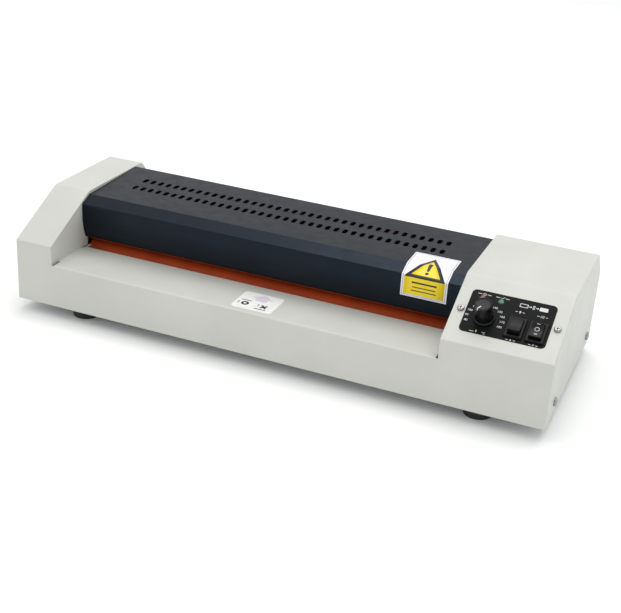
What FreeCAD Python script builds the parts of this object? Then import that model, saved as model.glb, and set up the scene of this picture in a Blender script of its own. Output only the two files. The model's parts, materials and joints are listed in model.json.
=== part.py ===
import FreeCAD, Part
import math
import os
import re
import Sketcher
from FreeCAD import Placement, Rotation, Vector

# Pouch laminator, in millimetres. Everything is laid out in the casing frame, which
# starts at the casing's front left bottom corner: X to the right, Y to the rear, Z up.
# Parts on the control slope are laid out in the panel frame, which starts where the
# slope meets the front face: X to the right, Y up the slope, Z out of it.
# The row's own origin is on the floor, under the middle of the whole machine.
DIMENSIONS = {
    # casing
    "total_length": 500, "casing_depth": 187, "casing_height": 92.2,
    "front_height": 58.5, "slope_run": 65.8, "top_end": 162.8, "rear_height": 66.5,
    "slope_bend": 9, "fold_radius": 1.5, "sheet": 1.2, "fit_gap": 0.3,
    "left_block": 37.8, "right_block": 93.5, "tray_height": 40.7, "tray_depth": 53,
    "tray_ear": 4, "tray_ear_end": 60.5, "relief_width": 2.2, "relief_length": 11.2,
    "relief_start": 0.6, "deck_start": 144.5, "lip_drop": 6,
    "wall_cut_start": 61, "wall_cut_end": 150, "wall_cut_top": 87.5,
    # cover
    "lip_y": 56.8, "lip_z": 50, "nose_y": 52.5, "nose_z": 72, "band_z": 83.7,
    "crown_y": 65.6, "crown_z": 89.4, "cover_rear": 151.5, "cover_rear_z": 91.7,
    "cover_bottom": 49, "nose_radius": 56, "cover_bend": 1.6,
    "vent_start": 67, "vent_pitch": 8.29, "vent_count": 38, "vent_width": 4.4,
    "vent_length": 9.4, "vent_row_y": 100.8, "vent_row_pitch": 19.8, "vent_depth": 8,
    "cover_screw_reach": 140,
    # base
    "pan_gap": 0.2, "pan_height": 19, "floor_slot_x": 80, "floor_slot_y": 70,
    "floor_slot_length": 26, "floor_slot_width": 4, "floor_slot_pitch": 12,
    "floor_slot_count": 24, "floor_slot_row_pitch": 48, "seat_gap": 0.1,
    "foot_height": 12, "foot_radius": 13.3, "foot_inset": 60, "foot_y": 22,
    "foot_recess_radius": 5.5, "foot_recess": 6, "foot_taper": 1.2,
    "side_screw_inset": 28, "side_screw_rear": 162, "side_screw_z": 12.5,
    "screw_hole": 2.2, "screw_shank": 2, "screw_head": 3.8, "screw_head_height": 2.1,
    "screw_length": 8, "head_round": 1.25, "recess_length": 4.2, "recess_width": 1,
    "recess_depth": 2.4, "machine_head": 3.2, "machine_head_height": 1.2, "machine_length": 2.6,
    "panel_recess": 3.4,
    # rollers and their frames
    "roller_radius": 13, "nip_gap": 0.3, "core_radius": 10, "journal_radius": 8,
    "tube_bore": 6, "hot_y": 71.5, "pull_y": 127.5, "lower_z": 30,
    "sleeve_start": 38.6, "sleeve_end": 405.4, "core_start": 36, "core_end": 408,
    "journal_start": 26.5, "journal_end": 426.5, "bond": 0.02, "running": 0.05,
    "frame_left": 31, "frame_right": 411, "frame_sheet": 2, "frame_front": 58,
    "frame_rear": 149.8, "frame_top": 86, "frame_foot": 11, "frame_corner": 8,
    "frame_foot_start": 14, "foot_screw_front": 22, "foot_screw_rear": 12,
    "block_size": 20, "block_flange": 24, "block_flange_sheet": 2, "slide_gap": 0.12,
    "block_reach": 3, "window_top": 78, "spring_seat": 2, "spring_seat_depth": 10,
    "bush_radius": 10.5, "bush_flange_radius": 12.5, "bush_flange": 1.5,
    "spring_radius": 4, "spring_wire": 0.7, "spring_turns": 5,
    "rod_radius": 4, "top_rod_z": 80.5, "low_rod_z": 9, "front_rod_y": 66,
    "rear_rod_y": 135, "bar_size": 8, "bar_y": 141.6, "bar_z": 74,
    "guide_start": 87, "guide_end": 112, "guide_low_z": 38.6, "guide_high_z": 47.2,
    "guide_sheet": 1, "guide_ear": 12, "guide_ear_inset": 5, "guide_gap": 0.2,
    # gears
    "gear_module": 1, "roller_teeth": 26, "idler_teeth": 30, "pinion_teeth": 15,
    "gear_start": 417, "gear_width": 8, "backlash": 0.16, "pressure_angle": 20,
    "dedendum": 1.25,
    "stud_radius": 4, "stud_head": 6, "stud_washer": 0.9, "shaft_radius": 3, "shaft_reach": 4,
    # motor and its bracket
    "bracket_x": 428, "bracket_front": 82, "bracket_rear": 131, "bracket_top": 84,
    "motor_radius": 25, "motor_depth": 24, "motor_y": 105.5, "motor_z": 57.5,
    "motor_boss": 6, "motor_ear": 35, "motor_ear_rise": 4, "terminal_width": 14,
    "terminal_height": 6, "terminal_inset": 2,
    # heater
    "heater_radius": 3.5, "heater_start": 12, "heater_end": 436, "holder_width": 16,
    "holder_sheet": 6, "holder_left": 13, "holder_right": 430.5, "holder_top": 66,
    "sensor_x": 150, "sensor_radius": 8, "sensor_height": 3.9, "sensor_strip": 8,
    "sensor_strip_front": 6, "sensor_strip_past": 4,
    # control slope, in the panel frame
    "label_x": 10.5, "label_y": 13, "label_width": 71, "label_height": 44.8,
    "label_sheet": 0.25, "label_corner": 4, "panel_screw_left": 6.4,
    "panel_screw_right": 86.4, "panel_screw_y": 35, "panel_screw_head": 3,
    "knob_x": 27.5, "knob_y": 30, "knob_skirt_radius": 8.9, "knob_skirt": 2.6,
    "knob_radius": 7.9, "knob_top_radius": 6.9, "knob_height": 19, "knob_floor": 0.8,
    "edge_break": 0.6, "knob_rest": 240,
    "pointer_start": 2.4, "bezel_edge": 0.6, "knob_recess": 6.9, "knob_recess_depth": 3.4,
    "knob_flutes": 18, "flute_radius": 0.7,
    "pointer_width": 1.2, "pointer_depth": 0.5, "pot_shaft": 3, "pot_shaft_top": 12.5, "pot_floor": 2.5,
    "pot_end_gap": 0.5,
    "pot_bush": 3.4, "pot_bush_top": 3, "pot_radius": 8, "pot_depth": 9,
    "nut_radius": 5.77, "nut_height": 1.8, "hole_gap": 0.2,
    "feed_x": 54.2, "heat_x": 71.6, "switch_y": 27, "bezel_width": 15,
    "bezel_length": 21, "bezel_height": 1.8, "switch_width": 12.8, "switch_length": 18.8,
    "switch_depth": 16, "well_width": 10.8, "well_length": 16.6, "well_depth": 9,
    "rocker_width": 10.2, "rocker_length": 14.8, "rocker_centre": 4,
    "rocker_rise": 1.2, "rocker_side": 4, "rocker_draft": 0.4, "rocker_keel": 6.5, "pivot_drop": 1,
    "pivot_radius": 1, "pivot_reach": 0.7, "rocker_tilt": 9,
    "blade_width": 4.8, "blade_sheet": 0.8, "blade_length": 6.5, "blade_pitch": 6.3,
    "led_y": 50.1, "power_x": 20, "ready_x": 35.6, "led_radius": 2.5, "led_crown": 0.25, "led_land": 1.5,
    "led_flange": 3, "led_depth": 6,
    # boards behind the slope
    "standoff_radius": 3, "board_depth": 28, "board_x": 5, "board_y": 14,
    "board_width": 83, "board_length": 35, "board_sheet": 1.6,
    "relay_x": 12, "relay_length": 19, "relay_width": 15, "relay_height": 15,
    "relay_y": 18,
    "coil_x": 44, "coil_length": 32, "coil_width": 24, "coil_height": 21, "bobbin_inset": 5,
    "bobbin_rise": 3,
    "bobbin_front": 15, "capacitor_x": 15, "capacitor_pitch": 11, "capacitor_y": 42,
    "capacitor_radius": 4, "capacitor_height": 11, "sink_x": 36, "sink_y": 36, "sink_sheet": 4,
    "sink_width": 12, "sink_height": 16, "plug_x": 48, "plug_length": 28, "plug_width": 5,
    "plug_height": 9,
    # mains
    "gland_x": 452, "gland_z": 22, "gland_lip": 4, "gland_radius": 7,
    "gland_flange": 9.5, "gland_bore": 3.5, "gland_depth": 14,
    "fuse_x": 480, "fuse_z": 34, "fuse_radius": 6, "fuse_cap": 8, "fuse_depth": 34,
    "fuse_lip": 3.5, "fuse_slot": 8, "fuse_slot_width": 1.2,
    "terminals_x": 440, "terminals_y": 143, "terminals_length": 40,
    "terminals_width": 16, "terminals_height": 14, "terminal_ways": 4, "terminal_pitch": 10,
    "terminal_well": 2.5, "terminal_well_floor": 9,
    # labels
    "warning_x": 353.6, "warning_width": 40.9, "warning_top": 89.5,
    "warning_bottom": 64.4, "film": 0.2, "note_x": 216, "note_y": 6,
    "note_width": 38, "note_length": 33.5, "note_corner": 3.5,
}

doc = FreeCAD.newDocument("PouchLaminator")
dims = doc.addObject("Spreadsheet::Sheet", "Dims")
for row, (alias, value) in enumerate(DIMENSIONS.items(), 1):
    dims.set("A%d" % row, alias)
    dims.set("B%d" % row, str(value))
    dims.setAlias("B%d" % row, alias)
doc.recompute()
nodes = []


def cells(expression):
    # each word of an expression is a cell of the sheet
    return re.sub(r"[a-z][a-z_]*", lambda word: "Dims." + word.group(), str(expression))


def number(expression):
    return float(dims.evalExpression(cells(expression)))


def bind(item, **sizes):
    for name, expression in sizes.items():
        item.setExpression(name, cells(expression))


def place(item, x, y, z, turn=None):
    item.Placement = Placement(Vector(number(x), number(y), number(z)), turn or Rotation())
    for axis, expression in zip("xyz", (x, y, z)):
        item.setExpression("Placement.Base.%s" % axis, cells(expression))


# ---------------------------------------------------------------- node placement
def keep(item, label, x="0", y="0", z="0"):
    # a node laid out in the casing frame, moved to the row frame
    item.Label = label
    depth = "(casing_depth + gland_lip) / 2"
    place(item, "%s - total_length / 2" % x, "%s - %s" % (y, depth), "%s + foot_height" % z)
    nodes.append(item)


slopeAngle = math.degrees(math.atan2(number("casing_height - front_height"), number("slope_run")))
slopeTurn = Rotation(Vector(1, 0, 0), slopeAngle)
panelFrame = Placement(Vector(number("total_length / 2 - right_block"),
                              number("-(casing_depth + gland_lip) / 2"),
                              number("front_height + foot_height")), slopeTurn)


def keepOnPanel(item, label, x="0", y="0", z="0"):
    # a node laid out in the panel frame, moved to the row frame
    item.Label = label
    item.Placement = panelFrame.multiply(Placement(Vector(number(x), number(y), number(z)), Rotation()))
    nodes.append(item)


# ---------------------------------------------------------------- sketches
def fixPoint(sketch, shape, end, x, y):
    for kind, expression in (("DistanceX", x), ("DistanceY", y)):
        index = sketch.addConstraint(Sketcher.Constraint(kind, -1, 1, shape, end, number(expression)))
        sketch.setExpression("Constraints[%d]" % index, cells(expression))


def fixRadius(sketch, shape, radius):
    index = sketch.addConstraint(Sketcher.Constraint("Radius", shape, number(radius)))
    sketch.setExpression("Constraints[%d]" % index, cells(radius))


def outline(*corners):
    # a closed polygon through corners given as pairs of expressions
    def draw(sketch):
        points = [Vector(number(x), number(y), 0) for x, y in corners]
        first = sketch.GeometryCount
        for start, end in zip(points, points[1:] + points[:1]):
            sketch.addGeometry(Part.LineSegment(start, end), False)
        for index, (x, y) in enumerate(corners):
            following = first + (index + 1) % len(corners)
            sketch.addConstraint(Sketcher.Constraint("Coincident", first + index, 2, following, 1))
            fixPoint(sketch, first + index, 1, x, y)
    return draw


def rectangle(left, right, low, high):
    return outline((left, low), (right, low), (right, high), (left, high))


def circle(x, y, radius):
    def draw(sketch):
        centre = Vector(number(x), number(y), 0)
        shape = sketch.addGeometry(Part.Circle(centre, Vector(0, 0, 1), number(radius)), False)
        fixPoint(sketch, shape, 3, x, y)
        fixRadius(sketch, shape, radius)
    return draw


def slot(x, y, width, length):
    # a round-ended slot along the sketch's second axis
    def draw(sketch):
        radius = number(width) / 2
        reach = "(%s - %s) / 2" % (length, width)
        centres = ["%s + %s" % (y, reach), "%s - %s" % (y, reach)]
        middle = number(x)
        shapes = []
        for turn, centre in enumerate(centres):
            level = number(centre)
            other = number(centres[1 - turn])
            side = middle - radius if turn == 0 else middle + radius
            round_end = Part.Circle(Vector(middle, level, 0), Vector(0, 0, 1), radius)
            arc = Part.ArcOfCircle(round_end, turn * math.pi, (turn + 1) * math.pi)
            line = Part.LineSegment(Vector(side, level, 0), Vector(side, other, 0))
            shapes.append(sketch.addGeometry(arc, False))
            shapes.append(sketch.addGeometry(line, False))
        for index, shape in enumerate(shapes):
            following = shapes[(index + 1) % len(shapes)]
            sketch.addConstraint(Sketcher.Constraint("Tangent", shape, 2, following, 1))
        for shape, centre in zip(shapes[::2], centres):
            fixPoint(sketch, shape, 3, x, centre)
            fixRadius(sketch, shape, "%s / 2" % width)
    return draw


# ---------------------------------------------------------------- features
def newBody(name):
    return doc.addObject("PartDesign::Body", name)


def newSketch(body, role, start, *drawings):
    sketch = body.newObject("Sketcher::SketchObject", "Sketch")
    plane = [item for item in body.Origin.OriginFeatures if item.Role == role][0]
    sketch.AttachmentSupport = [(plane, "")]
    sketch.MapMode = "FlatFace"
    sketch.setExpression("AttachmentOffset.Base.z", cells(start))
    for draw in drawings:
        draw(sketch)
    return sketch


def pad(body, role, start, length, *drawings):
    # adds material from start, over length, along the plane's normal
    item = body.newObject("PartDesign::Pad", "Pad")
    item.Profile = newSketch(body, role, start, *drawings)
    bind(item, Length=length)
    doc.recompute()
    return item


def cut(body, role, start, length, *drawings):
    # takes material away from start, over length, along the plane's normal
    before = body.Shape.Volume
    item = body.newObject("PartDesign::Pocket", "Pocket")
    item.Profile = newSketch(body, role, start, *drawings)
    item.Reversed = True
    bind(item, Length=length)
    doc.recompute()
    if not body.Shape.Volume < before:
        raise ValueError("%s: a pocket removes nothing" % body.Name)
    return item


def spin(body, axis, *drawings):
    # a full turn of a sketch on XZ, about its H_Axis (X) or its V_Axis (Z)
    sketch = newSketch(body, "XZ_Plane", "0", *drawings)
    item = body.newObject("PartDesign::Revolution", "Revolution")
    item.Profile = sketch
    item.ReferenceAxis = (sketch, [axis])
    item.Angle = 360
    doc.recompute()
    return item


def repeat(body, original, *rows):
    # copies a feature along the plane's first and second axes: (axis, count, pitch)
    item = body.newObject("PartDesign::MultiTransform", "Repeat")
    steps = []
    for axis, count, pitch in rows:
        step = body.newObject("PartDesign::LinearPattern", "Row")
        step.Direction = (original.Profile[0], [axis])
        step.Occurrences = int(number(count))
        step.Mode = "Spacing"
        bind(step, Offset=pitch)
        steps.append(step)
    item.Originals = [original]
    item.Transformations = steps
    body.Tip = item
    doc.recompute()
    return item


def edgesWhere(item, test):
    return ["Edge%d" % index for index, edge in enumerate(item.Shape.Edges, 1) if test(edge)]


def soften(body, radius, test, kind="Fillet"):
    base = body.Tip
    item = body.newObject("PartDesign::" + kind, kind)
    item.Base = (base, edgesWhere(base, test))
    bind(item, **{"Radius" if kind == "Fillet" else "Size": radius})
    doc.recompute()
    return item


def alongX(edge):
    ends = [vertex.Point for vertex in edge.Vertexes]
    return len(ends) == 2 and abs(ends[0].y - ends[1].y) < 1e-6 and abs(ends[0].z - ends[1].z) < 1e-6


def alongZ(edge):
    ends = [vertex.Point for vertex in edge.Vertexes]
    return len(ends) == 2 and abs(ends[0].x - ends[1].x) < 1e-6 and abs(ends[0].y - ends[1].y) < 1e-6


# ---------------------------------------------------------------- primitives
def block(x, y, z, length, width, height):
    item = doc.addObject("Part::Box", "Block")
    bind(item, Length=length, Width=width, Height=height)
    place(item, x, y, z)
    return item


def cylinder(x, y, z, radius, length, axis="Z"):
    turn = {"X": Rotation(Vector(0, 1, 0), 90), "Y": Rotation(Vector(1, 0, 0), -90), "Z": Rotation()}
    item = doc.addObject("Part::Cylinder", "Round")
    bind(item, Radius=radius, Height=length)
    place(item, x, y, z, turn[axis])
    return item


def cone(x, y, z, low, high, height):
    item = doc.addObject("Part::Cone", "Taper")
    bind(item, Radius1=low, Radius2=high, Height=height)
    place(item, x, y, z)
    return item


def fuse(*items):
    item = doc.addObject("Part::MultiFuse", "Union")
    item.Shapes = list(items)
    return item


def subtract(base, tool):
    item = doc.addObject("Part::Cut", "Difference")
    item.Base = base
    item.Tool = tool
    return item


def group(*items):
    item = doc.addObject("Part::Compound", "Group")
    item.Links = list(items)
    return item


def solid(name, shape):
    item = doc.addObject("Part::Feature", name)
    item.Shape = shape
    return item


# ---------------------------------------------------------------- casing
def mainCasing():
    body = newBody("main_casing")
    pad(body, "YZ_Plane", "0", "total_length", outline(
        ("0", "0"), ("0", "front_height"), ("slope_run", "casing_height"),
        ("top_end", "casing_height"), ("casing_depth", "rear_height"), ("casing_depth", "0")))
    right = "total_length - right_block"
    bend = number("casing_height")
    run = number("slope_run")
    soften(body, "slope_bend", lambda edge: alongX(edge) and abs(edge.CenterOfMass.y - run) < 0.1
           and abs(edge.CenterOfMass.z - bend) < 0.1)
    cut(body, "XY_Plane", "tray_height", "casing_height",
        rectangle("left_block", right, "-1", "casing_depth + 1"))
    base = body.Tip
    shell = body.newObject("PartDesign::Thickness", "Thickness")
    bottom = ["Face%d" % index for index, face in enumerate(base.Shape.Faces, 1)
              if abs(face.BoundBox.ZMax) < 1e-6]
    shell.Base = (base, bottom)
    shell.Reversed = True
    bind(shell, Value="sheet")
    doc.recompute()
    soften(body, "fold_radius", isFold)
    trayOpenings(body, right)
    wallOpenings(body, right)
    return body


def isFold(edge):
    # outer folds: along the length, round both end faces, and on top of the inner walls
    ends = [vertex.Point for vertex in edge.Vertexes]
    if len(ends) < 2 or max(end.z for end in ends) < 0.1:
        return False
    middle = edge.CenterOfMass
    onEnd = all(abs(end.x) < 1e-6 or abs(end.x - number("total_length")) < 1e-6 for end in ends)
    if alongX(edge):
        front = abs(middle.y) < 1e-6
        rear = abs(middle.y - number("casing_depth")) < 1e-6
        ridge = abs(middle.y - number("top_end")) < 0.1
        return front or rear or ridge
    return onEnd and middle.z > 0.1


def trayOpenings(body, right):
    reach = "sheet + 2"
    below = "tray_height - sheet - 1"
    cut(body, "XY_Plane", below, reach,
        rectangle("left_block + tray_ear", "%s - tray_ear" % right, "tray_depth", "deck_start"))
    ears = (("left_block", "left_block + tray_ear"), ("%s - tray_ear" % right, right))
    for left, end in ears:
        cut(body, "XY_Plane", below, reach, rectangle(left, end, "tray_ear_end", "deck_start"))
    for left in ("left_block", "%s - relief_width" % right):
        for front in ("relief_start", "tray_ear_end - relief_length"):
            cut(body, "XY_Plane", below, reach,
                rectangle(left, "%s + relief_width" % left, front, "%s + relief_length" % front))
    pad(body, "XY_Plane", "tray_height - sheet - lip_drop", "lip_drop",
        rectangle("left_block + tray_ear + 1", "%s - tray_ear - 1" % right, "tray_depth - sheet",
                  "tray_depth"),
        rectangle("left_block + tray_ear + 1", "%s - tray_ear - 1" % right, "deck_start",
                  "deck_start + sheet"))


def wallOpenings(body, right):
    # rollers and frames pass through the blocks' inner walls, behind the cover's ends
    for wall in ("left_block - sheet - 1", "%s - 1" % right):
        cut(body, "YZ_Plane", wall, "sheet + 2",
            rectangle("wall_cut_start", "wall_cut_end", "tray_height - sheet", "wall_cut_top"))
    for side in ("-1", "total_length - sheet - 1"):
        cut(body, "YZ_Plane", side, "sheet + 2",
            circle("side_screw_inset", "side_screw_z", "screw_hole"),
            circle("side_screw_rear", "side_screw_z", "screw_hole"))
    cut(body, "XZ_Plane", "-casing_depth - 1", "sheet + 2",
        circle("gland_x", "gland_z", "gland_radius + hole_gap"),
        circle("fuse_x", "fuse_z", "fuse_radius + hole_gap"))
    panelOpenings(body)


def panelOpenings(body):
    # holes square to the control slope
    sketch = body.newObject("Sketcher::SketchObject", "PanelSketch")
    plane = [item for item in body.Origin.OriginFeatures if item.Role == "XY_Plane"][0]
    sketch.AttachmentSupport = [(plane, "")]
    sketch.MapMode = "FlatFace"
    sketch.AttachmentOffset = Placement(Vector(0, 0, 0), slopeTurn)
    sketch.setExpression("AttachmentOffset.Base.x", cells("total_length - right_block"))
    sketch.setExpression("AttachmentOffset.Base.z", cells("front_height"))
    for draw in panelHoles():
        draw(sketch)
    for side in ("panel_screw_left", "panel_screw_right"):
        circle(side, "panel_screw_y", "screw_hole")(sketch)
    holes = body.newObject("PartDesign::Pocket", "PanelHoles")
    holes.Profile = sketch
    holes.SideType = "Symmetric"
    holes.Length = 2 * number("sheet") + 4
    doc.recompute()


def panelHoles():
    # what the control slope and its label share: two switches, the control and two lamps
    half_width = "switch_width / 2 + hole_gap"
    half_length = "switch_length / 2 + hole_gap"
    drawings = [circle("knob_x", "knob_y", "pot_bush + hole_gap")]
    for middle in ("feed_x", "heat_x"):
        drawings.append(rectangle(
            "%s - (%s)" % (middle, half_width), "%s + (%s)" % (middle, half_width),
            "switch_y - (%s)" % half_length, "switch_y + (%s)" % half_length))
    for middle in ("power_x", "ready_x"):
        drawings.append(circle(middle, "led_y", "led_radius + hole_gap"))
    return drawings


def coverEdges():
    # outer line of the cover's section, from its lip over the top to its rear edge
    def point(y, z):
        return Vector(0, number(y), number(z))
    lip = point("lip_y", "lip_z")
    nose = point("nose_y", "nose_z")
    radius = number("nose_radius")
    chord = nose - lip
    sag = radius - math.sqrt(radius ** 2 - (chord.Length / 2) ** 2)
    bulge = lip + chord * 0.5 + Vector(0, -chord.z, chord.y).normalize() * sag
    corners = [nose, point("nose_y", "band_z"), point("crown_y", "crown_z"),
               point("cover_rear", "cover_rear_z"), point("cover_rear", "cover_bottom")]
    lines = [Part.makeLine(start, end) for start, end in zip(corners, corners[1:])]
    return [Part.Arc(lip, bulge, nose).toShape()] + lines


def drawEdges(sketch, edges):
    for edge in edges:
        ends = [Vector(vertex.Point.y, vertex.Point.z, 0) for vertex in edge.Vertexes]
        if edge.Curve.TypeId == "Part::GeomLine":
            sketch.addGeometry(Part.LineSegment(*ends), False)
        else:
            middle = edge.valueAt((edge.FirstParameter + edge.LastParameter) / 2)
            sketch.addGeometry(Part.Arc(ends[0], Vector(middle.y, middle.z, 0), ends[1]), False)


def topCover():
    # one folded sheet, open at both ends and underneath
    body = newBody("top_cover")
    section = Part.Wire(coverEdges()).makeOffset2D(number("sheet"), 2, True, True)
    sketch = newSketch(body, "YZ_Plane", "left_block + fit_gap")
    drawEdges(sketch, section.Edges)
    folded = body.newObject("PartDesign::Pad", "Pad")
    folded.Profile = sketch
    bind(folded, Length="total_length - left_block - right_block - 2 * fit_gap")
    doc.recompute()
    bends = coverBends() + [("cover_rear", "cover_rear_z")]
    soften(body, "cover_bend", lambda edge: alongX(edge) and any(
        math.hypot(edge.CenterOfMass.y - number(y), edge.CenterOfMass.z - number(z)) < 0.1 for y, z in bends))
    vent = cut(body, "XY_Plane", "crown_z - vent_depth", "2 * vent_depth",
               slot("vent_start", "vent_row_y", "vent_width", "vent_length"))
    repeat(body, vent, ("H_Axis", "vent_count", "vent_pitch"), ("V_Axis", "2", "vent_row_pitch"))
    for x in coverScrewPlaces():
        cut(body, "XZ_Plane", "-cover_rear - 1", "sheet + 2",
            circle(x, "bar_z + bar_size / 2", "screw_hole"))
    return body


def coverBends():
    return [("nose_y", "band_z"), ("crown_y", "crown_z")]


def coverScrewPlaces():
    middle = "(total_length + left_block - right_block) / 2"
    return [middle + " - cover_screw_reach", middle, middle + " + cover_screw_reach"]


def basePan():
    body = newBody("base_pan")
    low = "sheet + pan_gap"
    pad(body, "XY_Plane", "0", "pan_height",
        rectangle(low, "total_length - (%s)" % low, low, "casing_depth - (%s)" % low))
    soften(body, "fold_radius + sheet", alongZ)
    base = body.Tip
    shell = body.newObject("PartDesign::Thickness", "Thickness")
    top = ["Face%d" % index for index, face in enumerate(base.Shape.Faces, 1)
           if abs(face.BoundBox.ZMin - number("pan_height")) < 1e-6]
    shell.Base = (base, top)
    shell.Reversed = True
    bind(shell, Value="sheet")
    doc.recompute()
    first = cut(body, "XY_Plane", "-1", "sheet + 2",
                slot("floor_slot_x", "floor_slot_y", "floor_slot_width", "floor_slot_length"))
    repeat(body, first, ("H_Axis", "floor_slot_count", "floor_slot_pitch"),
           ("V_Axis", "2", "floor_slot_row_pitch"))
    for side in ("sheet + pan_gap - 1", "total_length - 2 * sheet - pan_gap - 1"):
        cut(body, "YZ_Plane", side, "sheet + 2",
            circle("side_screw_inset", "side_screw_z", "screw_hole"),
            circle("side_screw_rear", "side_screw_z", "screw_hole"))
    for x, y in footPlaces():
        cut(body, "XY_Plane", "-1", "sheet + 2", circle(x, y, "screw_hole"))
    cut(body, "XZ_Plane", "-casing_depth", "2 * sheet + 1",
        circle("gland_x", "gland_z", "gland_radius + hole_gap"))
    return body


def footPlaces():
    return [(x, y) for x in ("foot_inset", "total_length - foot_inset")
            for y in ("foot_y", "casing_depth - foot_y")]


def rubberFeet():
    feet = []
    for x, y in footPlaces():
        outer = cone(x, y, "-foot_height", "foot_radius - foot_taper", "foot_radius", "foot_height")
        recess = cylinder(x, y, "-foot_height - 1", "foot_recess_radius", "foot_recess + 1")
        hole = cylinder(x, y, "-foot_height", "screw_hole", "foot_height + 1")
        feet.append(subtract(outer, fuse(recess, hole)))
    return group(*feet)


# ---------------------------------------------------------------- fasteners
def screwShape(headRadius, headHeight, shankRadius, shankLength, recess):
    # head on top of z = 0 with a cross recess of the given length, shank below it
    head = Part.makeCylinder(headRadius, headHeight)
    rim = [edge for edge in head.Edges if abs(edge.CenterOfMass.z - headHeight) < 1e-6 and edge.Closed
           and len(edge.Vertexes) == 1]
    head = head.makeFillet(number("head_round") * headHeight / number("screw_head_height"), rim)
    shank = Part.makeCylinder(shankRadius, shankLength, Vector(0, 0, -shankLength))
    shape = head.fuse(shank)
    width = number("recess_width") * recess / number("recess_length")
    depth = number("recess_depth") * headHeight / number("screw_head_height")
    for turn in (0, 90):
        cross = Part.makeBox(recess, width, depth, Vector(-recess / 2, -width / 2, headHeight - depth))
        cross.rotate(Vector(0, 0, 0), Vector(0, 0, 1), turn)
        shape = shape.cut(cross)
    return shape


def screwGroup(name, places, head="screw_head", height="screw_head_height", length="screw_length",
               recess="recess_length"):
    # places holds (x, y, z, direction that the head faces)
    shapes = []
    for x, y, z, facing in places:
        shape = screwShape(*(number(size) for size in (head, height, "screw_shank", length, recess)))
        turn = Rotation(Vector(0, 0, 1), Vector(*facing))
        shape.Placement = Placement(Vector(number(x), number(y), number(z)), turn)
        shapes.append(shape)
    return solid(name, Part.makeCompound(shapes))


def casingScrews():
    places = []
    for y in ("side_screw_inset", "side_screw_rear"):
        places.append(("0", y, "side_screw_z", (-1, 0, 0)))
        places.append(("total_length", y, "side_screw_z", (1, 0, 0)))
    for x in coverScrewPlaces():
        places.append((x, "cover_rear", "bar_z + bar_size / 2", (0, 1, 0)))
    return screwGroup("casing_screws", places)


def footScrews():
    places = [(x, y, "-foot_height + foot_recess", (0, 0, -1)) for x, y in footPlaces()]
    return screwGroup("foot_screws", places, length="foot_height")


def panelScrews():
    places = [(x, "panel_screw_y", "0", (0, 0, 1)) for x in ("panel_screw_left", "panel_screw_right")]
    return screwGroup("panel_screws", places, head="panel_screw_head", recess="panel_recess")


def machineScrews():
    # frames down to the base pan, and the motor's ears to its bracket
    places = []
    for x in ("frame_left - frame_foot / 2", "frame_right + frame_sheet + frame_foot / 2"):
        for y in footScrewRows():
            places.append((x, y, "2 * sheet + frame_sheet", (0, 0, 1)))
    for side in ("+", "-"):
        y = "motor_y %s motor_ear / 2" % side
        places.append(("bracket_x", y, "motor_z - motor_radius + motor_ear_rise", (-1, 0, 0)))
    return screwGroup("machine_screws", places, "machine_head", "machine_head_height", "machine_length",
                      "panel_recess")


def footScrewRows():
    return "frame_front + foot_screw_front", "frame_rear - foot_screw_rear"


# ---------------------------------------------------------------- rollers
UPPER = "(lower_z + 2 * roller_radius + nip_gap)"
IDLER_Y = "(hot_y + (roller_teeth + idler_teeth) * gear_module / 2)"
PINION_Z = "(lower_z + (idler_teeth + pinion_teeth) * gear_module / 2)"


def rollerCore(name):
    # hollow steel tube turned down to a journal at each end, about its own axis
    body = newBody(name)
    spin(body, "H_Axis", outline(
        ("journal_start", "tube_bore"), ("journal_start", "journal_radius"),
        ("core_start", "journal_radius"), ("core_start", "core_radius"),
        ("core_end", "core_radius"), ("core_end", "journal_radius"),
        ("journal_end", "journal_radius"), ("journal_end", "tube_bore")))
    return body


def rollerSleeve(name):
    body = newBody(name)
    spin(body, "H_Axis", outline(
        ("sleeve_start", "core_radius + bond"), ("sleeve_start", "roller_radius"),
        ("sleeve_end", "roller_radius"), ("sleeve_end", "core_radius + bond")))
    return body


def gearShape(teeth, phase, bore):
    # involute spur gear about the X axis: phase is the angle of one tooth's middle from +Y
    module = number("gear_module")
    pitch = module * teeth / 2
    pressure = math.radians(number("pressure_angle"))
    base = pitch * math.cos(pressure)
    tip = pitch + module
    root = pitch - number("dedendum") * module

    def rolled(radius):
        # half the tooth's angle at a radius
        angle = math.acos(min(1, base / radius))
        thickness = math.pi / (2 * teeth) - number("backlash") / (2 * pitch)
        return thickness + math.tan(pressure) - pressure - math.tan(angle) + angle

    def point(radius, angle):
        return Vector(0, radius * math.cos(angle), radius * math.sin(angle))

    start = max(base, root)
    flankPoints = 5
    radii = [start + (tip - start) * step / (flankPoints - 1) for step in range(flankPoints)]
    edges = []
    for tooth in range(teeth):
        middle = math.radians(phase + tooth * 360 / teeth)
        following = middle + 2 * math.pi / teeth
        rise = [point(radius, middle - rolled(radius)) for radius in radii]
        fall = [point(radius, middle + rolled(radius)) for radius in reversed(radii)]
        low = point(root, middle - rolled(start))
        end = point(root, middle + rolled(start))
        if start > root:
            edges.append(Part.makeLine(low, rise[0]))
        for flank in (rise, fall):
            curve = Part.BSplineCurve()
            curve.interpolate(flank)
            edges.append(curve.toShape())
            if flank is rise:
                edges.append(Part.Arc(rise[-1], point(tip, middle), fall[0]).toShape())
        if start > root:
            edges.append(Part.makeLine(fall[-1], end))
        valley = point(root, (middle + following) / 2)
        edges.append(Part.Arc(end, valley, point(root, following - rolled(start))).toShape())
    rim = Part.Face(Part.Wire(edges))
    hole = Part.Face(Part.Wire(Part.makeCircle(bore, Vector(0, 0, 0), Vector(1, 0, 0))))
    return rim.cut(hole).extrude(Vector(number("gear_width"), 0, 0))


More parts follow.
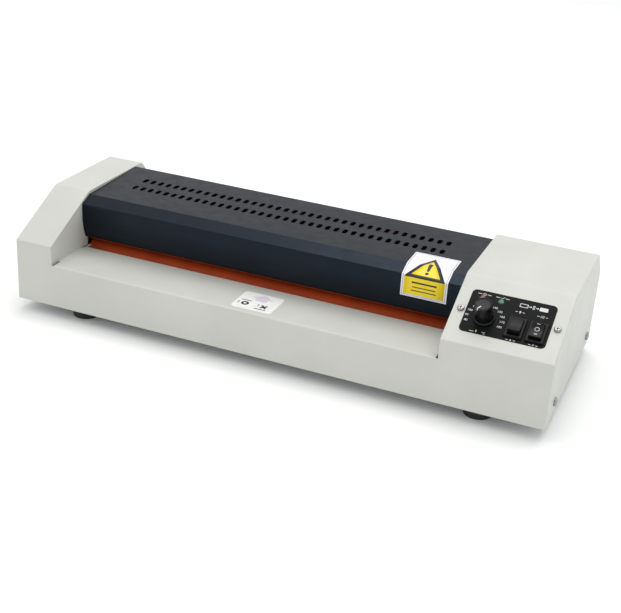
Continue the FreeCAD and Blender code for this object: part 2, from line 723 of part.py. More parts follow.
def meshed(phase, teeth, otherTeeth, direction):
    # phase of a gear that meshes with one of the given phase, lying in the given direction
    return direction + 180 - teeth / otherTeeth * (phase - direction) + 180 / otherTeeth


def gearTrain():
    rollers = DIMENSIONS["roller_teeth"]
    idler = DIMENSIONS["idler_teeth"]
    pinion = DIMENSIONS["pinion_teeth"]
    bore = number("journal_radius + bond")
    lowerHot = 0
    upperHot = meshed(lowerHot, rollers, rollers, 90)
    middle = meshed(lowerHot, rollers, idler, 0)
    lowerPull = meshed(middle, idler, rollers, 0)
    upperPull = meshed(lowerPull, rollers, rollers, 90)
    drive = meshed(middle, idler, pinion, 90)
    places = (("lower_hot_gear", rollers, lowerHot, bore, "hot_y", "lower_z"),
              ("upper_hot_gear", rollers, upperHot, bore, "hot_y", UPPER),
              ("lower_pull_gear", rollers, lowerPull, bore, "pull_y", "lower_z"),
              ("upper_pull_gear", rollers, upperPull, bore, "pull_y", UPPER),
              ("idler_gear", idler, middle, number("stud_radius + running"), IDLER_Y, "lower_z"))
    for name, teeth, phase, radius, y, z in places:
        keep(solid(name, gearShape(teeth, phase, radius)), name, "gear_start", y, z)
    keep(motorPinion(pinion, drive), "motor_pinion", "gear_start", IDLER_Y, PINION_Z)


def motorPinion(teeth, phase):
    # pinion cut on the end of the motor's shaft, which runs back into the motor's boss
    length = number("bracket_x + frame_sheet - gear_start + shaft_reach")
    shaft = Part.makeCylinder(number("shaft_radius"), length, Vector(0, 0, 0), Vector(1, 0, 0))
    return solid("motor_pinion", gearShape(teeth, phase, number("shaft_radius") / 2).fuse(shaft))


def idlerStud():
    # shouldered stud riveted to the right frame, with a retaining washer past the gear
    start = "frame_right + frame_sheet"
    past = "gear_start + gear_width + fit_gap"
    length = "%s + stud_washer - (%s)" % (past, start)
    stud = cylinder(start, IDLER_Y, "lower_z", "stud_radius", length, "X")
    shoulder = cylinder(start, IDLER_Y, "lower_z", "stud_head", "gear_start - (%s) - fit_gap" % start, "X")
    washer = cylinder(past, IDLER_Y, "lower_z", "stud_head", "stud_washer", "X")
    return fuse(stud, shoulder, washer)


# ---------------------------------------------------------------- frames
def sideFrame(name, x, outward):
    # pressed steel plate with bush holes, bearing windows, spring seats and a foot flange
    body = newBody(name)
    low = "sheet + seat_gap"
    pad(body, "YZ_Plane", x, "frame_sheet", outline(
        ("frame_front", low), ("frame_rear", low), ("frame_rear", "frame_top"),
        ("frame_front + frame_corner", "frame_top"), ("frame_front", "frame_top - frame_corner")))
    foot = x + " - frame_foot" if outward < 0 else x + " + frame_sheet"
    pad(body, "XY_Plane", low, "frame_sheet",
        rectangle(foot, "%s + frame_foot" % foot, "frame_front + frame_foot_start", "frame_rear"))
    through = ("YZ_Plane", "%s - 1" % x, "frame_sheet + 2")
    holes = [circle(y, "lower_z", "bush_radius + bond") for y in ("hot_y", "pull_y")]
    for y in ("hot_y", "pull_y"):
        half = "(block_size / 2 + slide_gap)"
        holes.append(rectangle("%s - %s" % (y, half), "%s + %s" % (y, half),
                               "%s - %s" % (UPPER, half), "window_top"))
    for y, z in rodPlaces():
        holes.append(circle(y, z, "screw_hole"))
    cut(body, *through, *holes)
    for y in ("hot_y", "pull_y"):
        start = "%s + frame_sheet / 2 - spring_seat_depth / 2" % x
        pad(body, "XY_Plane", "window_top", "spring_seat",
            rectangle(start, "%s + spring_seat_depth" % start, "%s - spring_radius - spring_seat" % y,
                      "%s + spring_radius + spring_seat" % y))
    for y in footScrewRows():
        cut(body, "XY_Plane", "sheet", "frame_sheet + 1",
            circle("%s + frame_foot / 2" % foot, y, "screw_hole"))
    return body


def rodPlaces():
    return ((IDLER_Y, "top_rod_z"), ("front_rod_y", "low_rod_z"), ("rear_rod_y", "low_rod_z"))


def tieRods():
    # three round rods between the frames, and the square bar that holds the cover's rear
    start = "frame_left + frame_sheet"
    span = "frame_right - (%s)" % start
    rods = [cylinder(start, y, z, "rod_radius", span, "X") for y, z in rodPlaces()]
    rods.append(block(start, "bar_y", "bar_z", span, "bar_size", "bar_size"))
    holes = [cylinder(x, "bar_y - 1", "bar_z + bar_size / 2", "screw_hole", "bar_size + 2", "Y")
             for x in coverScrewPlaces()]
    return group(*rods[:3], subtract(rods[3], fuse(*holes)))


def lowerBushes():
    bushes = []
    for y in ("hot_y", "pull_y"):
        for x, flange in (("frame_left", "frame_left + frame_sheet"),
                          ("frame_right", "frame_right - bush_flange")):
            sleeve = cylinder(x, y, "lower_z", "bush_radius", "frame_sheet", "X")
            rim = cylinder(flange, y, "lower_z", "bush_flange_radius", "bush_flange", "X")
            bore = cylinder("%s - 2 * bush_flange" % x, y, "lower_z", "journal_radius + running",
                            "frame_sheet + 4 * bush_flange", "X")
            bushes.append(subtract(fuse(sleeve, rim), bore))
    return group(*bushes)


def bearingBlocks(name):
    # a pair of sliding bearings: a square block in the frame's window with a wider flange
    # inside it, about the roller's axis
    bodies = []
    for side, plate in (("left", "frame_left"), ("right", "frame_right")):
        inner = "frame_left + frame_sheet + fit_gap" if side == "left" else \
            "frame_right - fit_gap - block_flange_sheet"
        start = "frame_left - block_reach" if side == "left" else "frame_right - fit_gap - 1"
        square = block(start, "-block_size / 2", "-block_size / 2",
                       "frame_sheet + block_reach + fit_gap + 1", "block_size", "block_size")
        flange = block(inner, "-block_flange / 2", "-block_size / 2", "block_flange_sheet",
                       "block_flange", "block_size")
        bore = cylinder("%s - block_size / 2" % plate, "0", "0", "journal_radius + running",
                        "block_size", "X")
        bodies.append(subtract(fuse(square, flange), bore))
    return group(*bodies)


def springs(name):
    # a pair of round-wire compression springs between the bearings and the spring seats
    wire = number("spring_wire")
    low = number("block_size / 2 + running") + wire
    high = number("window_top - %s - running" % UPPER) - wire
    radius = number("spring_radius")
    coil = Part.Wire(Part.makeHelix((high - low) / number("spring_turns"), high - low, radius))
    section = Part.Wire(Part.makeCircle(wire, Vector(radius, 0, 0), Vector(0, 1, 0)))
    shape = coil.makePipeShell([section], True, True)
    if shape.Volume < 0:
        shape.reverse()
    shapes = []
    for x in ("frame_left + frame_sheet / 2", "frame_right + frame_sheet / 2"):
        one = shape.copy()
        one.translate(Vector(number(x), 0, low))
        shapes.append(one)
    return solid(name, Part.makeCompound(shapes))


def pouchGuides():
    # lower and upper guide between the roller pairs, each with a bent ear at both ends
    start = "frame_left + frame_sheet + guide_gap"
    end = "frame_right - guide_gap"
    plates = []
    for z, ear in (("guide_low_z", "guide_low_z - guide_ear + guide_sheet"),
                   ("guide_high_z", "guide_high_z")):
        plate = block(start, "guide_start", z, "%s - (%s)" % (end, start),
                      "guide_end - guide_start", "guide_sheet")
        ears = [block(x, "guide_start + guide_ear_inset", ear, "guide_sheet",
                      "guide_end - guide_start - 2 * guide_ear_inset", "guide_ear")
                for x in (start, "%s - guide_sheet" % end)]
        plates.append(fuse(plate, *ears))
    return group(*plates)


# ---------------------------------------------------------------- drive and heat
def motorBracket():
    body = newBody("motor_bracket")
    low = "sheet + seat_gap"
    pad(body, "YZ_Plane", "bracket_x", "frame_sheet",
        rectangle("bracket_front", "bracket_rear", low, "bracket_top"))
    pad(body, "XY_Plane", low, "frame_sheet",
        rectangle("bracket_x", "bracket_x + frame_foot + frame_sheet", "bracket_front", "bracket_rear"))
    cut(body, "YZ_Plane", "bracket_x - 1", "frame_sheet + 2",
        circle(IDLER_Y, PINION_Z, "motor_boss + hole_gap"))
    ears = [circle("motor_y %s motor_ear / 2" % side, "motor_z - motor_radius + motor_ear_rise", "screw_hole")
            for side in "+-"]
    cut(body, "YZ_Plane", "bracket_x - 1", "frame_sheet + 2", *ears)
    return body


def driveMotor():
    # geared synchronous motor: round can with two ears, an offset boss and a terminal cover
    face = "bracket_x + frame_sheet"
    can = cylinder(face, "motor_y", "motor_z", "motor_radius", "motor_depth", "X")
    cover = block("%s + motor_depth / 2" % face, "motor_y - terminal_width / 2",
                  "motor_z - motor_radius - terminal_height / 2", "motor_depth / 2 - terminal_inset",
                  "terminal_width", "terminal_height")
    bore = cylinder("%s - 1" % face, IDLER_Y, PINION_Z, "shaft_radius + running", "motor_boss", "X")
    return subtract(fuse(can, cover), bore)


def heaterTubes():
    tubes = [cylinder("heater_start", "hot_y", z, "heater_radius", "heater_end - heater_start", "X")
             for z in ("lower_z", UPPER)]
    return group(*tubes)


def heaterHolders():
    # moulded pillars on the base pan that hold the heater tubes' ends clear of the rollers
    holders = []
    for x in ("holder_left", "holder_right"):
        pillar = block(x, "hot_y - holder_width / 2", "sheet + seat_gap", "holder_sheet", "holder_width",
                       "holder_top - sheet")
        holes = [cylinder("%s - 1" % x, "hot_y", z, "heater_radius + bond", "holder_sheet + 2", "X")
                 for z in ("lower_z", UPPER)]
        holders.append(subtract(pillar, fuse(*holes)))
    return group(*holders)


def thermostat():
    # disc sensor over the upper hot roller, on a strip held under the top tie rod
    stripZ = "top_rod_z - rod_radius - sheet"
    strip = block("sensor_x - sensor_strip / 2", "hot_y - sensor_strip_front", stripZ, "sensor_strip",
                  "%s - hot_y + sensor_strip_front + sensor_strip_past" % IDLER_Y, "sheet")
    disc = cylinder("sensor_x", "hot_y", "%s - sensor_height" % stripZ, "sensor_radius", "sensor_height")
    return fuse(strip, disc)


# ---------------------------------------------------------------- control slope
def controlLabel():
    body = newBody("control_label")
    pad(body, "XY_Plane", "0", "label_sheet", rectangle(
        "label_x", "label_x + label_width", "label_y", "label_y + label_height"))
    soften(body, "label_corner", alongZ)
    cut(body, "XY_Plane", "-1", "label_sheet + 2", *panelHoles())
    return body


def temperatureKnob():
    # skirted knob with a fluted grip, a pointer groove, a nut recess and a bore for its shaft
    body = newBody("temperature_knob")
    shoulder = "knob_skirt + knob_floor"
    spin(body, "V_Axis", outline(
        ("0", "knob_height"), ("knob_top_radius - edge_break", "knob_height"),
        ("knob_top_radius", "knob_height - edge_break"), ("knob_radius", shoulder),
        ("knob_skirt_radius", "knob_skirt"), ("knob_skirt_radius", "knob_floor"),
        ("knob_recess", "knob_floor"), ("knob_recess", "knob_floor + knob_recess_depth"),
        ("0", "knob_floor + knob_recess_depth")))
    flute = cut(body, "XY_Plane", shoulder, "knob_height",
                circle("knob_radius + flute_radius / 2", "0", "flute_radius"))
    around = body.newObject("PartDesign::PolarPattern", "Flutes")
    around.Originals = [flute]
    around.Axis = (flute.Profile[0], ["N_Axis"])
    around.Angle = 360
    around.Occurrences = DIMENSIONS["knob_flutes"]
    body.Tip = around
    doc.recompute()
    cut(body, "XY_Plane", "0", "pot_shaft_top + bond", circle("0", "0", "pot_shaft + bond"))
    # the pointer groove starts on the left and is turned to the low end of the scale
    cut(body, "XY_Plane", "knob_height - pointer_depth", "1", rectangle(
        "-knob_radius", "-pointer_start", "-pointer_width / 2", "pointer_width / 2"))
    return body


def keepKnob(body):
    keepOnPanel(body, "temperature_knob", "knob_x", "knob_y")
    turn = Rotation(Vector(0, 0, 1), DIMENSIONS["knob_rest"] - 180)
    body.Placement = body.Placement.multiply(Placement(Vector(0, 0, 0), turn))


def potentiometer():
    # round can under the slope and a threaded bush through it, bored for the shaft
    low = "-sheet - pot_depth"
    can = cylinder("0", "0", low, "pot_radius", "pot_depth - bond")
    bush = cylinder("0", "0", "-sheet - 1", "pot_bush", "sheet + 1 + pot_bush_top")
    bore = cylinder("0", "0", "%s + pot_floor - pot_end_gap" % low, "pot_shaft + running", "2 * pot_depth")
    return subtract(fuse(can, bush), bore)


def potentiometerNut():
    item = doc.addObject("Part::Prism", "Hexagon")
    item.Polygon = 6
    bind(item, Circumradius="nut_radius", Height="nut_height")
    hole = cylinder("0", "0", "-1", "pot_bush + bond", "nut_height + 2")
    return subtract(item, hole)


def switchBody(name):
    # snap-in rocker switch housing about the middle of its bezel, with a well for the rocker
    body = newBody(name)

    def centred(width, length):
        return rectangle("-%s / 2" % width, "%s / 2" % width, "-%s / 2" % length, "%s / 2" % length)
    pad(body, "XY_Plane", "-switch_depth", "switch_depth + label_sheet",
        centred("switch_width", "switch_length"))
    pad(body, "XY_Plane", "label_sheet", "bezel_height", centred("bezel_width", "bezel_length"))
    rim = number("label_sheet + bezel_height")
    soften(body, "bezel_edge", lambda edge: abs(edge.CenterOfMass.z - rim) < 1e-6, "Chamfer")
    cut(body, "XY_Plane", "-well_depth", "2 * well_depth", centred("well_width", "well_length"))
    cut(body, "YZ_Plane", "-well_width / 2 - pivot_reach - bond", "well_width + 2 * pivot_reach + 2 * bond",
        circle("0", "-pivot_drop", "pivot_radius + running"))
    return body


def rocker(name):
    # V-topped rocker on two stub pivots, drawn level about its pivot axis
    body = newBody(name)
    half = "rocker_length / 2"
    drop = "pivot_drop"
    pad(body, "YZ_Plane", "-rocker_width / 2", "rocker_width", outline(
        ("-" + half, "rocker_centre + rocker_rise + %s" % drop), ("0", "rocker_centre + %s" % drop),
        (half, "rocker_centre + rocker_rise + %s" % drop), ("%s - rocker_draft" % half, "-rocker_side"),
        ("0", "-rocker_keel"), ("rocker_draft - %s" % half, "-rocker_side")))
    pad(body, "YZ_Plane", "-well_width / 2 - pivot_reach", "well_width + 2 * pivot_reach",
        circle("0", "0", "pivot_radius"))
    return body


def keepRocker(name, x, tilt):
    body = rocker(name)
    keepOnPanel(body, name, x, "switch_y", "-pivot_drop")
    body.Placement = body.Placement.multiply(Placement(Vector(0, 0, 0), Rotation(Vector(1, 0, 0), tilt)))


def switchTerminals():
    blades = []
    for middle in ("feed_x", "heat_x"):
        for step in (-1, 0, 1):
            front = "switch_y + %d * blade_pitch - blade_sheet / 2" % step
            blades.append(block("%s - blade_width / 2" % middle, front, "-switch_depth - blade_length",
                                "blade_width", "blade_sheet", "blade_length"))
    return group(*blades)


def lamp(name):
    # nearly flush indicator with a flange behind the slope
    body = newBody(name)
    top = "label_sheet"
    spin(body, "V_Axis", outline(
        ("0", "-sheet - led_depth"), ("led_flange", "-sheet - led_depth"), ("led_flange", "-sheet - bond"),
        ("led_radius", "-sheet - bond"), ("led_radius", top), ("led_land", "%s + 0.8 * led_crown" % top),
        ("0", "%s + led_crown" % top)))
    return body


def circuitBoard():
    return group(block("board_x", "board_y", "-board_depth - board_sheet", "board_width", "board_length",
                       "board_sheet"))


def boardStandoffs():
    posts = []
    for x in ("panel_screw_left", "panel_screw_right"):
        post = cylinder(x, "panel_screw_y", "-board_depth", "standoff_radius", "board_depth - sheet")
        hole = cylinder(x, "panel_screw_y", "-sheet - screw_length", "screw_shank + bond", "screw_length + 1")
        posts.append(subtract(post, hole))
    return group(*posts)


def relay():
    return group(block("relay_x", "relay_y", "-board_depth - board_sheet - relay_height", "relay_length",
                       "relay_width", "relay_height"))


def transformer():
    # laminated core with its bobbin, hanging under the board
    low = "-board_depth - board_sheet - coil_height"
    core = block("coil_x", "relay_y", low, "coil_length", "coil_width / 2", "coil_height")
    bobbin = block("coil_x + bobbin_inset", "bobbin_front", "%s + bobbin_rise" % low,
                   "coil_length - 2 * bobbin_inset", "coil_width", "coil_height - bobbin_rise")
    return fuse(core, bobbin)


def boardComponents():
    # two capacitors, a power switch on its heat sink and a plug strip
    top = "-board_depth - board_sheet"
    parts = [cylinder(x, "capacitor_y", "%s - capacitor_height" % top, "capacitor_radius", "capacitor_height")
             for x in ("capacitor_x", "capacitor_x + capacitor_pitch")]
    parts.append(block("sink_x", "sink_y", "%s - sink_height" % top,
                       "sink_sheet", "sink_width", "sink_height"))
    parts.append(block("plug_x", "capacitor_y", "%s - plug_height" % top,
                       "plug_length", "plug_width", "plug_height"))
    return group(*parts)


# ---------------------------------------------------------------- mains
def cordGland():
    # flanged bush through the rear wall
    rim = cylinder("gland_x", "casing_depth", "gland_z", "gland_flange", "gland_lip", "Y")
    neck = cylinder("gland_x", "casing_depth - gland_depth", "gland_z", "gland_radius", "gland_depth", "Y")
    bore = cylinder("gland_x", "casing_depth - gland_depth - 1", "gland_z", "gland_bore",
                    "gland_depth + gland_lip + 2", "Y")
    return subtract(fuse(rim, neck), bore)


def fuseHolder():
    cap = cylinder("fuse_x", "casing_depth", "fuse_z", "fuse_cap", "fuse_lip", "Y")
    barrel = cylinder("fuse_x", "casing_depth - fuse_depth", "fuse_z", "fuse_radius", "fuse_depth", "Y")
    groove = block("fuse_x - fuse_slot / 2", "casing_depth + fuse_lip - 1", "fuse_z - fuse_slot_width / 2",
                   "fuse_slot", "2", "fuse_slot_width")
    return subtract(fuse(cap, barrel), groove)


def terminalBlock():
    low = "sheet + seat_gap"
    base = block("terminals_x", "terminals_y", low, "terminals_length", "terminals_width", "terminals_height")
    wells = [cylinder("terminals_x + (%d + 1 / 2) * terminal_pitch" % way,
                      "terminals_y + terminals_width / 2", "terminal_well_floor", "terminal_well",
                      "terminals_height")
             for way in range(DIMENSIONS["terminal_ways"])]
    return subtract(base, fuse(*wells))


# ---------------------------------------------------------------- labels
def warningLabel():
    # film that lies on the cover's front and folds back over its band onto the top
    ring = Part.Wire(coverEdges()).makeOffset2D(-number("film"), 2, True, True)
    length = number("warning_width")
    shape = ring.extrude(Vector(length, 0, 0))
    for y, z in coverBends():
        for radius, low, high in (("cover_bend + film", 0.01, number("2 * film")), ("cover_bend", 0, 0.01)):
            edges = [edge for edge in shape.Edges if alongX(edge) and low <= math.hypot(
                edge.CenterOfMass.y - number(y), edge.CenterOfMass.z - number(z)) < high]
            shape = shape.makeFillet(number(radius), edges)
    rear = number("warning_top")
    low = number("warning_bottom")
    window = Part.makeBox(length, rear, number("casing_height"), Vector(0, 0, low))
    return solid("warning_label", shape.common(window))


def trayLabel():
    body = newBody("tray_label")
    pad(body, "XY_Plane", "tray_height", "film", rectangle(
        "note_x", "note_x + note_width", "note_y", "note_y + note_length"))
    soften(body, "note_corner", alongZ)
    return body


# ---------------------------------------------------------------- assembly
keep(mainCasing(), "main_casing")
keep(topCover(), "top_cover")
keep(basePan(), "base_pan")
keep(rubberFeet(), "rubber_feet")
keep(footScrews(), "foot_screws")
keep(casingScrews(), "casing_screws")
keep(machineScrews(), "machine_screws")
for roller, y, z in (("lower_hot", "hot_y", "lower_z"), ("upper_hot", "hot_y", UPPER),
                     ("lower_pull", "pull_y", "lower_z"), ("upper_pull", "pull_y", UPPER)):
    keep(rollerCore(roller + "_core"), roller + "_core", "0", y, z)
    keep(rollerSleeve(roller + "_sleeve"), roller + "_sleeve", "0", y, z)
gearTrain()
keep(idlerStud(), "idler_stud")
keep(sideFrame("left_frame", "frame_left", -1), "left_frame")
keep(sideFrame("right_frame", "frame_right", 1), "right_frame")
keep(tieRods(), "tie_rods")
keep(lowerBushes(), "lower_bushes")
for pair, y in (("hot", "hot_y"), ("pull", "pull_y")):
    keep(bearingBlocks(pair), "upper_%s_bearings" % pair, "0", y, UPPER)
    keep(springs(pair), "%s_springs" % pair, "0", y, UPPER)
keep(pouchGuides(), "pouch_guides")
keep(motorBracket(), "motor_bracket")
keep(driveMotor(), "drive_motor")
keep(heaterTubes(), "heater_tubes")
keep(heaterHolders(), "heater_holders")
keep(thermostat(), "thermostat")
keep(cordGland(), "cord_gland")
keep(fuseHolder(), "fuse_holder")
keep(terminalBlock(), "terminal_block")
keep(warningLabel(), "warning_label", "warning_x")
keep(trayLabel(), "tray_label")

keepOnPanel(controlLabel(), "control_label")
keepOnPanel(panelScrews(), "panel_screws")
keepKnob(temperatureKnob())
shaft = cylinder("0", "0", "-sheet - pot_depth + pot_floor", "pot_shaft",
                 "sheet + pot_depth - pot_floor + pot_shaft_top")
keepOnPanel(group(shaft), "control_shaft", "knob_x", "knob_y")
keepOnPanel(potentiometer(), "potentiometer", "knob_x", "knob_y")
keepOnPanel(potentiometerNut(), "potentiometer_nut", "knob_x", "knob_y", "label_sheet")
for switch, x, tilt in (("feed", "feed_x", -DIMENSIONS["rocker_tilt"]), ("heat", "heat_x", 0)):
    keepOnPanel(switchBody(switch + "_switch"), switch + "_switch", x, "switch_y")
    keepRocker(switch + "_rocker", x, tilt)
keepOnPanel(switchTerminals(), "switch_terminals")
for state in ("power", "ready"):
    keepOnPanel(lamp(state + "_lamp"), state + "_lamp", state + "_x", "led_y")
keepOnPanel(circuitBoard(), "circuit_board")
keepOnPanel(boardStandoffs(), "board_standoffs")
keepOnPanel(relay(), "relay")
keepOnPanel(transformer(), "transformer")
keepOnPanel(boardComponents(), "board_components")
doc.recompute()

# ---------------------------------------------------------------- checks and files
for item in doc.Objects:
    if "Invalid" in item.State or "Error" in item.State:
        raise ValueError("%s (%s) did not build: %s" % (item.Label, item.TypeId, item.State))
labels = [node.Label for node in nodes]
if len(set(labels)) != len(labels) or len(labels) > 60:
    raise ValueError("the nodes need different names, and there may be at most 60")
for node in nodes:
    if node.Shape.isNull() or not node.Shape.isValid() or not node.Shape.Solids:
        raise ValueError("%s has no valid solid" % node.Label)
os.makedirs("parts", exist_ok=True)
for node in nodes:
    node.Shape.exportStep("parts/%s.step" % node.Label)
print("wrote %d nodes" % len(nodes))
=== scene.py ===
import json
import math
import bmesh
import bpy
import numpy as np
from mathutils import Matrix, Vector


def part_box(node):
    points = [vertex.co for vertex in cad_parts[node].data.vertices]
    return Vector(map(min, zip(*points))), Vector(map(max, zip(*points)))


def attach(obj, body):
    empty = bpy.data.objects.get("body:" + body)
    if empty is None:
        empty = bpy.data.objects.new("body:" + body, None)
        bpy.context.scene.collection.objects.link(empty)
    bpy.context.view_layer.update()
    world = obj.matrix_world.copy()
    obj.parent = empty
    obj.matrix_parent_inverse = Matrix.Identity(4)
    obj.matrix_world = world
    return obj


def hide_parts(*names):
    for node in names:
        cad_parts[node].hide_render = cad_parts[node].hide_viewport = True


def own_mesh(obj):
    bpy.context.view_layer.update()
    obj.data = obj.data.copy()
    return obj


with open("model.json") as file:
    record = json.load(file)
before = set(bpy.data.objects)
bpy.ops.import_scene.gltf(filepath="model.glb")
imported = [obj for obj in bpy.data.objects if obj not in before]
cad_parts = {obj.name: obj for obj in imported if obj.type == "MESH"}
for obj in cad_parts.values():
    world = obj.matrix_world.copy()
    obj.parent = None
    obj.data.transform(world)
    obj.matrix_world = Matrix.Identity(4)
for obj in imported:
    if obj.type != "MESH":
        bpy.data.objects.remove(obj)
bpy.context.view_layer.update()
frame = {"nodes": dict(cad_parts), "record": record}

nodes = frame["nodes"]
mm = 0.001
print("frame loaded:", len(nodes), "nodes")

# one view of the whole machine, from the front right and above
cameraSetup = {"azimuth": 21.302, "elevation": 25.538, "roll": 3.662, "distance": 1.08843,
               "target": (0.0, 0.0045, 0.062), "right": 0.00161, "up": -0.03777, "lens": 68.58}
studio = {"floor": "#f4f5f4", "world": "#ffffff", "worldStrength": 0.86, "key": 6.5, "fill": 3, "top": 19.5}


# colours and nodes

def linear(hexColour, alpha=1.0):  # sRGB hex to linear
    parts = [int(hexColour[i:i + 2], 16) / 255 for i in (1, 3, 5)]
    return tuple(p / 12.92 if p <= 0.04045 else ((p + 0.055) / 1.055) ** 2.4 for p in parts) + (alpha,)


def addNode(tree, kind, links=None, **settings):
    # makes a node, sets its properties or input values, and links named inputs to other sockets
    node = tree.nodes.new("ShaderNode" + kind)
    for key, value in settings.items():
        if hasattr(node, key):
            setattr(node, key, value)
        else:
            node.inputs[key.replace("_", " ")].default_value = value
    for key, source in (links or {}).items():
        tree.links.new(source, node.inputs[key])
    return node


def newMaterial(name, colour, roughness, metallic=0.0, stretch=(1, 1, 1), **shader):
    # a shader with its constants, and the object's own coordinates, stretched along the axes
    material = bpy.data.materials.new(name)
    material.use_nodes = True
    tree = material.node_tree
    bsdf = tree.nodes["Principled BSDF"]
    bsdf.inputs["Base Color"].default_value = linear(colour)
    bsdf.inputs["Roughness"].default_value = roughness
    bsdf.inputs["Metallic"].default_value = metallic
    for key, value in shader.items():
        bsdf.inputs[key.replace("_", " ")].default_value = value
    coords = addNode(tree, "TexCoord")
    mapping = addNode(tree, "Mapping", {"Vector": coords.outputs["Object"]}, Scale=stretch)
    return material, tree, bsdf, mapping.outputs["Vector"]


def perMetre(sizeMm):  # texture scale that repeats every sizeMm
    return 1.0 / (sizeMm * mm)


def drift(tree, bsdf, vector, sizeMm, dark, light):
    # slow colour change between two close colours, over the middle third of the noise
    noise = addNode(tree, "TexNoise", {"Vector": vector},
                    Scale=perMetre(sizeMm), Detail=3.0, Roughness=0.55)
    ramp = addNode(tree, "ValToRGB", {"Fac": noise.outputs["Fac"]})
    ramp.color_ramp.elements[0].position = 0.32
    ramp.color_ramp.elements[0].color = linear(dark)
    ramp.color_ramp.elements[1].position = 0.68
    ramp.color_ramp.elements[1].color = linear(light)
    tree.links.new(ramp.outputs["Color"], bsdf.inputs["Base Color"])
    return ramp


def wear(tree, bsdf, vector, sizeMm, low, high):
    # roughness that wanders between two values
    noise = addNode(tree, "TexNoise", {"Vector": vector}, Scale=perMetre(sizeMm), Detail=4.0)
    spread = addNode(tree, "MapRange", {"Value": noise.outputs["Fac"]})
    spread.inputs["From Min"].default_value = 0.3
    spread.inputs["From Max"].default_value = 0.7
    spread.inputs["To Min"].default_value = low
    spread.inputs["To Max"].default_value = high
    tree.links.new(spread.outputs["Result"], bsdf.inputs["Roughness"])


def grain(tree, bsdf, vector, sizeMm, heightMm):
    # fine height pattern in the normal
    noise = addNode(tree, "TexNoise", {"Vector": vector}, Scale=perMetre(sizeMm), Detail=2.0)
    bump = addNode(tree, "Bump", {"Height": noise.outputs["Fac"]}, Strength=1.0, Distance=heightMm * mm)
    tree.links.new(bump.outputs["Normal"], bsdf.inputs["Normal"])


# materials, one per finish

def powderCoatGrey():
    # powder coat baked on steel sheet: warm light grey, semi matt, with fine orange peel
    material, tree, bsdf, vector = newMaterial("powderCoatGrey", "#bebfb9", 0.46, IOR=1.5)
    drift(tree, bsdf, vector, 60, "#babbb5", "#c0c1bb")
    wear(tree, bsdf, vector, 14, 0.42, 0.5)
    grain(tree, bsdf, vector, 0.9, 0.012)
    return material


def powderCoatBlack():
    # black powder coat on steel sheet: satin, with its reflections tinted pale blue, a painted reflection of
    # bluish surroundings
    material, tree, bsdf, vector = newMaterial("powderCoatBlack", "#0c0d0f", 0.34, IOR=1.5,
                                               Specular_IOR_Level=0.27, Specular_Tint=linear("#b8d8ff"))
    drift(tree, bsdf, vector, 35, "#0a0b0d", "#0e0f11")
    wear(tree, bsdf, vector, 9, 0.3, 0.42)
    grain(tree, bsdf, vector, 0.8, 0.014)
    return material


def zincPlate():
    # bright zinc plate over rolled steel: cool grey with soft rolling streaks
    material, tree, bsdf, vector = newMaterial("zincPlatedSteel", "#b9bcc0", 0.34, 1.0, stretch=(0.06, 1, 1))
    drift(tree, bsdf, vector, 3, "#a9adb2", "#c4c7ca")
    wear(tree, bsdf, vector, 2, 0.26, 0.42)
    return material


def turnedSteel():
    # lathe-turned steel: rings round the X axis, fine and bright
    material, tree, bsdf, vector = newMaterial("turnedSteel", "#aeb0b3", 0.28, 1.0, stretch=(1, 0.02, 0.02))
    drift(tree, bsdf, vector, 0.6, "#9da0a3", "#babcbf")
    wear(tree, bsdf, vector, 0.8, 0.2, 0.34)
    return material


def platedScrew(name, low, high, roughness):
    # zinc or nickel on a cold-headed screw: small, bright and a little uneven
    material, tree, bsdf, vector = newMaterial(name, high, roughness, 1.0)
    drift(tree, bsdf, vector, 1.2, low, high)
    return material


def springWire():
    # drawn and oiled spring wire: dark steel
    material, tree, bsdf, vector = newMaterial("drawnSpringWire", "#6c6e72", 0.38, 1.0)
    drift(tree, bsdf, vector, 1.5, "#5d5f63", "#77797d")
    return material


def sinteredBronze():
    # oil-filled sintered bronze: brown gold with fine dark pores
    material, tree, bsdf, vector = newMaterial("sinteredBronze", "#a07a4a", 0.5, 1.0)
    drift(tree, bsdf, vector, 0.7, "#805e36", "#ab8452")
    grain(tree, bsdf, vector, 0.5, 0.02)
    return material


def siliconeRubber():
    # silicone rubber ground round on its roller: orange brown, dull, with fine grinding rings
    material, tree, bsdf, vector = newMaterial("groundSiliconeRubber", "#a8421c", 0.6, IOR=1.41,
                                               Specular_IOR_Level=0.25, stretch=(1, 0.1, 0.1))
    drift(tree, bsdf, vector, 26, "#a03e1a", "#b0481e")
    grain(tree, bsdf, vector, 0.5, 0.012)
    return material


def mouldedRubber():
    # moulded black rubber: soft bloom, fine spark-eroded grain
    material, tree, bsdf, vector = newMaterial("mouldedRubber", "#17171a", 0.62, IOR=1.52)
    drift(tree, bsdf, vector, 5, "#131315", "#1c1c1e")
    grain(tree, bsdf, vector, 0.5, 0.03)
    return material


def mouldedPlastic(name, dark, light, roughness, grainMm=0.4, depthMm=0.015, gloss=0.5):
    # injection moulded plastic with an eroded tool texture
    material, tree, bsdf, vector = newMaterial(name, light, roughness, IOR=1.5, Specular_IOR_Level=gloss)
    drift(tree, bsdf, vector, 6, dark, light)
    wear(tree, bsdf, vector, 3, roughness - 0.04, roughness + 0.05)
    grain(tree, bsdf, vector, grainMm, depthMm)
    return material


def sheetAluminium():
    # plain rolled aluminium sheet
    material, tree, bsdf, vector = newMaterial("rolledAluminium", "#c9cbcd", 0.32, 1.0, stretch=(0.05, 1, 1))
    drift(tree, bsdf, vector, 2, "#bfc1c4", "#d0d2d4")
    return material


def quartzGlass():
    # clear fused quartz with the heating coil's glow left off
    material, tree, bsdf, vector = newMaterial("fusedQuartz", "#e8ebea", 0.05, IOR=1.46,
                                               Transmission_Weight=0.85)
    grain(tree, bsdf, vector, 6, 0.02)
    return material


